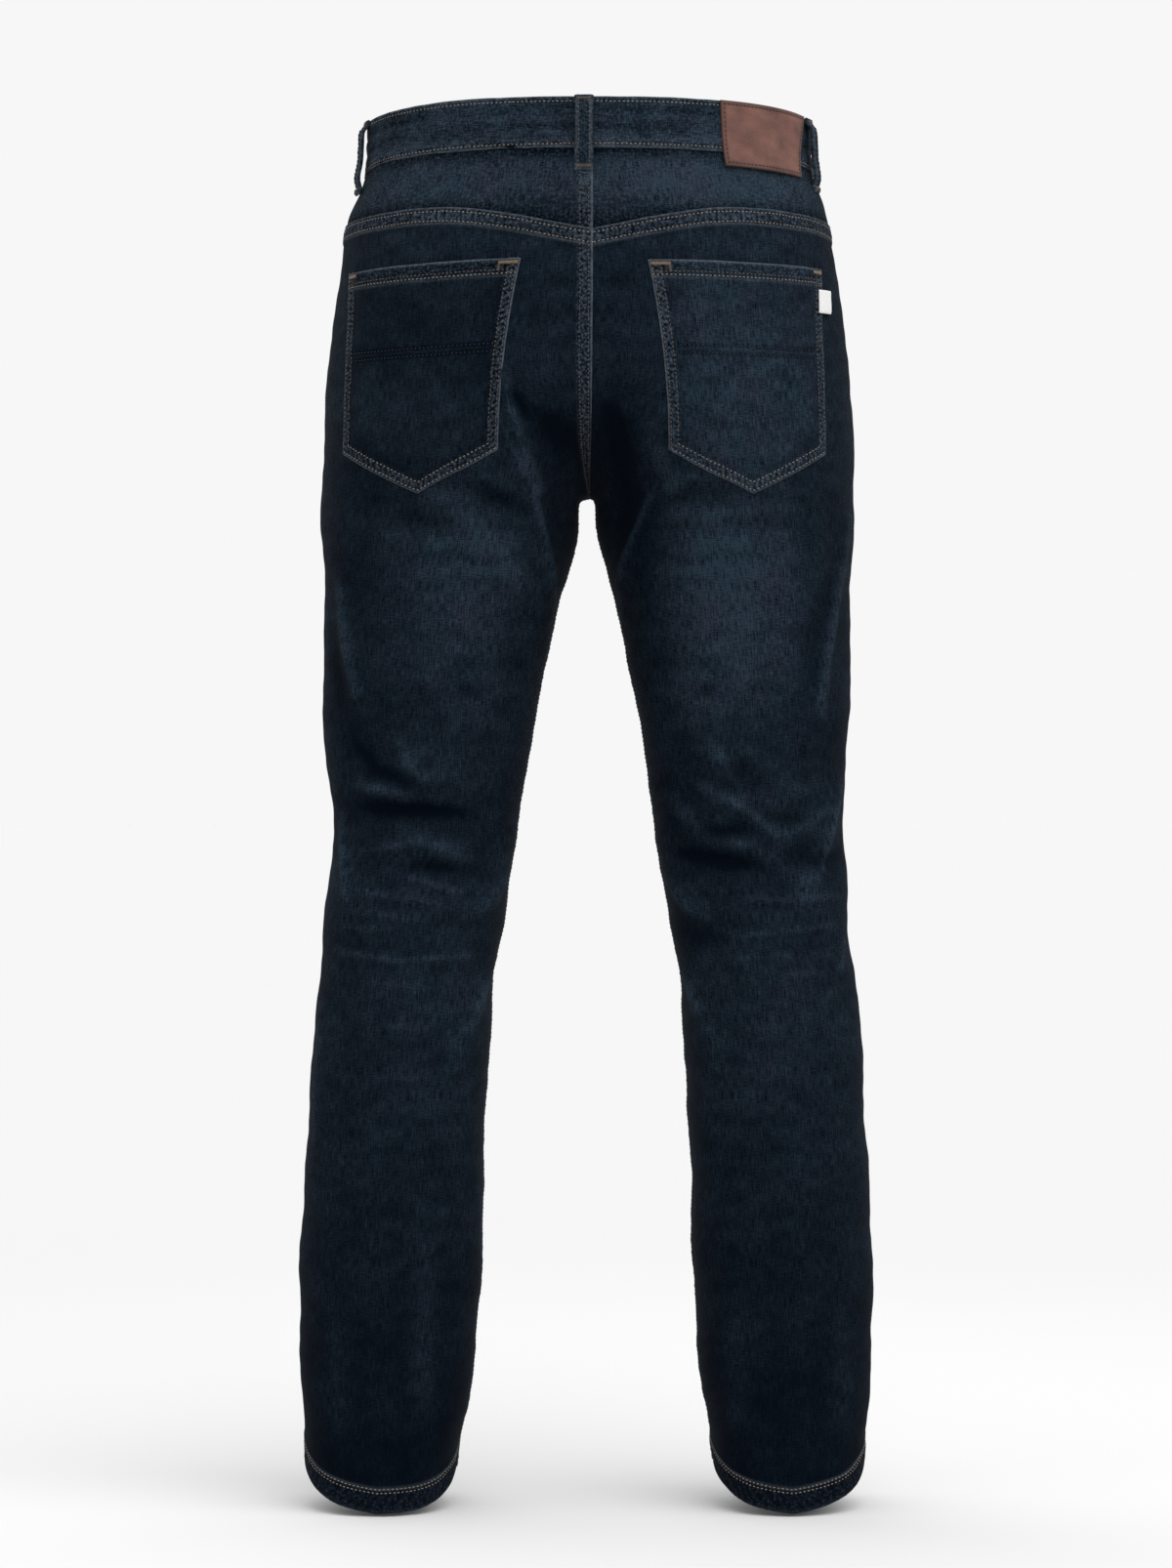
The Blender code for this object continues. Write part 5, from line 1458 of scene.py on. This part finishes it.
class JeansTrims(PropertyGroup):
    leather: colour_setting("Leather", "Patch on the band", (0.112, 0.052, 0.041))
    label: colour_setting("Tab", "Small white tab", (0.64, 0.64, 0.63))
    tape: colour_setting("Zip tape", "Woven tape of the zip", (0.010, 0.014, 0.026))
    metal: colour_setting("Metal", "Button, slider and zip teeth", (0.25, 0.165, 0.085))


class JeansStage(PropertyGroup):
    floor: colour_setting("Floor", "Floor of the studio", (0.4969, 0.4969, 0.4969))
    # Painted light: how much paler the floor is painted round the jeans, to even out the shade they cast on it.
    floor_painted_light: number_setting("Floor near", "How much paler the floor is round the jeans", 1.17, 1.0, 1.5)
    ring: number_setting("Wall light", "Brightness of the pale wall all round", 0.93, 0.0, 5.0)
    sky: number_setting("Ceiling light", "Strength of the soft light from above", 1.35, 0.0, 5.0)
    key: number_setting("Key light", "Strength of the light from the right", 1.9, 0.0, 20.0)
    fill: number_setting("Fill light", "Strength of the light on the front, opposite the key light", 0.6, 0.0, 20.0)
    light_width: FloatProperty(name="Light width", description="How wide both lights are, which softens shadows",
                               default=math.radians(62), subtype="ANGLE", unit="ROTATION")
    light_turn: FloatProperty(name="Light turn", description="How far round to the right the key light stands",
                              default=math.radians(38), subtype="ANGLE", unit="ROTATION")
    light_rise: FloatProperty(name="Light rise", description="How high both lights stand",
                              default=math.radians(50), subtype="ANGLE", unit="ROTATION")
    floor_level: FloatProperty(name="Floor level", description="Height of the floor", default=-1.075,
                               subtype="DISTANCE", unit="LENGTH")


# ---------------------------------------------------------------- operators
class JeansOperator(Operator):
    """Makes a part of the jeans."""
    bl_options = {"REGISTER", "UNDO"}

    def execute(self, context):
        self.make(context)
        return {"FINISHED"}


class OBJECT_OT_jeans_waistband(JeansOperator):
    """Makes the waistband, one strip lapped at the front"""
    bl_idname, bl_label = "object.jeans_waistband", "Waistband"

    def make(self, context):
        waistband()


class OBJECT_OT_jeans_leg_panels(JeansOperator):
    """Makes the two back and two front leg panels with their turned-up hems"""
    bl_idname, bl_label = "object.jeans_leg_panels", "Leg panels"

    def make(self, context):
        for side in (LEFT, RIGHT):
            for face in (BACK, FRONT):
                leg_panel(side, face)


class OBJECT_OT_jeans_yokes(JeansOperator):
    """Makes the two back yokes"""
    bl_idname, bl_label = "object.jeans_yokes", "Yokes"

    def make(self, context):
        for side in (LEFT, RIGHT):
            yoke(side)


class OBJECT_OT_jeans_pockets(JeansOperator):
    """Makes the back pockets, the tab in one of them and the front pockets' facings"""
    bl_idname, bl_label = "object.jeans_pockets", "Pockets"

    def make(self, context):
        for node, pocket in POCKETS.items():
            back_pocket(node, pocket)
        pocket_tab()
        for side in (LEFT, RIGHT):
            pocket_facing(side)


class OBJECT_OT_jeans_belt_loops(JeansOperator):
    """Makes the five belt loops"""
    bl_idname, bl_label = "object.jeans_belt_loops", "Belt loops"

    def make(self, context):
        for node, degrees in LOOP_ANGLES.items():
            belt_loop(node, degrees)


class OBJECT_OT_jeans_patch(JeansOperator):
    """Makes the bare leather patch on the band"""
    bl_idname, bl_label = "object.jeans_patch", "Leather patch"

    def make(self, context):
        leather_patch()


class OBJECT_OT_jeans_fly(JeansOperator):
    """Makes the zip and its teeth and the shield behind it, and finishes the metal"""
    bl_idname, bl_label = "object.jeans_fly", "Fly closing"

    def make(self, context):
        fly_closing()


class OBJECT_OT_jeans_sewing(JeansOperator):
    """Sews every seam, pocket, hem, loop and patch that has been made"""
    bl_idname, bl_label = "object.jeans_sewing", "Sewing"

    def make(self, context):
        sewing = context.scene.jeans_sewing
        stitch = (sewing.length, sewing.width, sewing.thickness)
        bar = (sewing.bartack_pitch * 1.15, sewing.bartack_width, sewing.thickness * 1.3)
        for kind, finish in THREADS.items():
            if not SEWN[kind]:
                raise RuntimeError("nothing has been made that needs this sewing: " + kind)
            name = kind + "_thread"
            pitch, size = (sewing.bartack_pitch, bar) if kind.endswith("bartack") else (sewing.pitch, stitch)
            show_piece(name, repeat_along(SEWN[kind], name, pitch, size, finish), ())


class OBJECT_OT_jeans_stage(JeansOperator):
    """Makes the pale studio, its lights and the camera"""
    bl_idname, bl_label = "object.jeans_stage", "Stage"

    def make(self, context):
        make_stage(context.scene)


# ---------------------------------------------------------------- stage
FLOOR_HALF_WIDTH, RING_TOP, CEILING_BOTTOM = 60.0, 0.30, 0.62
# NEAR_REACH and FAR_REACH bound the painted light that makes the floor paler round the jeans.
NEAR_REACH, FAR_REACH, LAMP_DISTANCE = 0.2, 2.6, 4.0
CAMERA_PLACE, CAMERA_LENS, CAMERA_SENSOR = (-0.0031, -3.6, -0.5035), 104.1, 36.0


def linked(scene, name, data):
    made = bpy.data.objects.new(name, data)
    scene.collection.objects.link(made)
    return made


def make_floor(scene, stage):
    """A wide floor, painted a little paler round the jeans: painted light that evens out the shade the jeans cast on
    it.
    """
    corners = ((-1, -1), (1, -1), (1, 1), (-1, 1))
    mesh = bpy.data.meshes.new("studio_floor")
    mesh.from_pydata([(x * FLOOR_HALF_WIDTH, y * FLOOR_HALF_WIDTH, stage.floor_level) for x, y in corners], [],
                     [(0, 1, 2, 3)])
    finish = Finish("studio_floor", Roughness=1.0, Specular_IOR_Level=0.0)
    far = finish.add("ShaderNodeVectorMath", ((0, finish.object_place()),), operation="LENGTH").outputs["Value"]
    part = finish.add("ShaderNodeMapRange", (("Value", far), ("From Min", NEAR_REACH), ("From Max", FAR_REACH)),
                      interpolation_type="SMOOTHERSTEP").outputs["Result"]
    finish.colour(finish.blended(part, shade(stage.floor, stage.floor_painted_light), shade(stage.floor)))
    mesh.materials.append(finish.material)
    return linked(scene, "studio_floor", mesh)


def make_lamp(scene, stage, name, strength, turn):
    light = bpy.data.lights.new(name, "SUN")
    light.energy, light.angle = strength, stage.light_width
    level, rise = math.cos(stage.light_rise), math.sin(stage.light_rise)
    towards = Vector((math.sin(turn) * level, -math.cos(turn) * level, rise))
    lamp = linked(scene, name, light)
    lamp.rotation_euler, lamp.location = towards.to_track_quat("Z", "Y").to_euler(), towards * LAMP_DISTANCE
    return lamp


def make_stage(scene):
    stage = scene.jeans_stage
    floor = make_floor(scene, stage)
    lights = [make_lamp(scene, stage, "key", stage.key, stage.light_turn),
              make_lamp(scene, stage, "fill", stage.fill, stage.light_turn + math.pi)]

    world = bpy.data.worlds.new("soft_light")
    world.use_nodes = True
    nodes, links = world.node_tree.nodes, world.node_tree.links
    apart, rise = nodes.new("ShaderNodeSeparateXYZ"), nodes.new("ShaderNodeMapRange")
    rise.interpolation_type = "SMOOTHERSTEP"
    for socket, value in (("From Min", RING_TOP), ("From Max", CEILING_BOTTOM), ("To Min", stage.ring),
                          ("To Max", stage.sky)):
        rise.inputs[socket].default_value = value
    links.new(nodes.new("ShaderNodeTexCoord").outputs["Generated"], apart.inputs[0])
    links.new(apart.outputs["Z"], rise.inputs["Value"])
    links.new(rise.outputs["Result"], nodes["Background"].inputs["Strength"])
    nodes["Background"].inputs["Color"].default_value = (1, 1, 1, 1)
    scene.world = world
    scene.view_settings.view_transform = "Standard"

    lens = bpy.data.cameras.new("camera")
    lens.sensor_fit, lens.sensor_height, lens.lens = "VERTICAL", CAMERA_SENSOR, CAMERA_LENS
    scene.camera = linked(scene, "camera", lens)
    scene.camera.location, scene.camera.rotation_euler = CAMERA_PLACE, (math.pi / 2, 0, 0)


# ---------------------------------------------------------------- panel and running
OPERATORS = (OBJECT_OT_jeans_waistband, OBJECT_OT_jeans_leg_panels, OBJECT_OT_jeans_yokes, OBJECT_OT_jeans_pockets,
             OBJECT_OT_jeans_belt_loops, OBJECT_OT_jeans_patch, OBJECT_OT_jeans_fly, OBJECT_OT_jeans_sewing,
             OBJECT_OT_jeans_stage)
SETTINGS = {"jeans_denim": JeansDenim, "jeans_sewing": JeansSewing, "jeans_trims": JeansTrims,
            "jeans_stage": JeansStage}


class VIEW3D_PT_jeans(Panel):
    """Lists the settings and the steps that make the jeans"""
    bl_label, bl_idname = "Jeans", "VIEW3D_PT_jeans"
    bl_space_type, bl_region_type, bl_category = "VIEW_3D", "UI", "Jeans"

    def draw(self, context):
        for name, group in SETTINGS.items():
            box = self.layout.box()
            for setting in group.__annotations__:
                box.prop(getattr(context.scene, name), setting)
        for operator in OPERATORS:
            self.layout.operator(operator.bl_idname)


def register():
    for group in SETTINGS.values():
        bpy.utils.register_class(group)
    for operator in (*OPERATORS, VIEW3D_PT_jeans):
        bpy.utils.register_class(operator)
    for name, group in SETTINGS.items():
        setattr(bpy.types.Scene, name, PointerProperty(type=group))


def unregister():
    for name in SETTINGS:
        delattr(bpy.types.Scene, name)
    for made in (VIEW3D_PT_jeans, *reversed(OPERATORS), *SETTINGS.values()):
        bpy.utils.unregister_class(made)


def main():
    register()
    for operator in OPERATORS:
        family, name = operator.bl_idname.split(".")
        getattr(getattr(bpy.ops, family), name)()


if __name__ == "__main__":
    main()
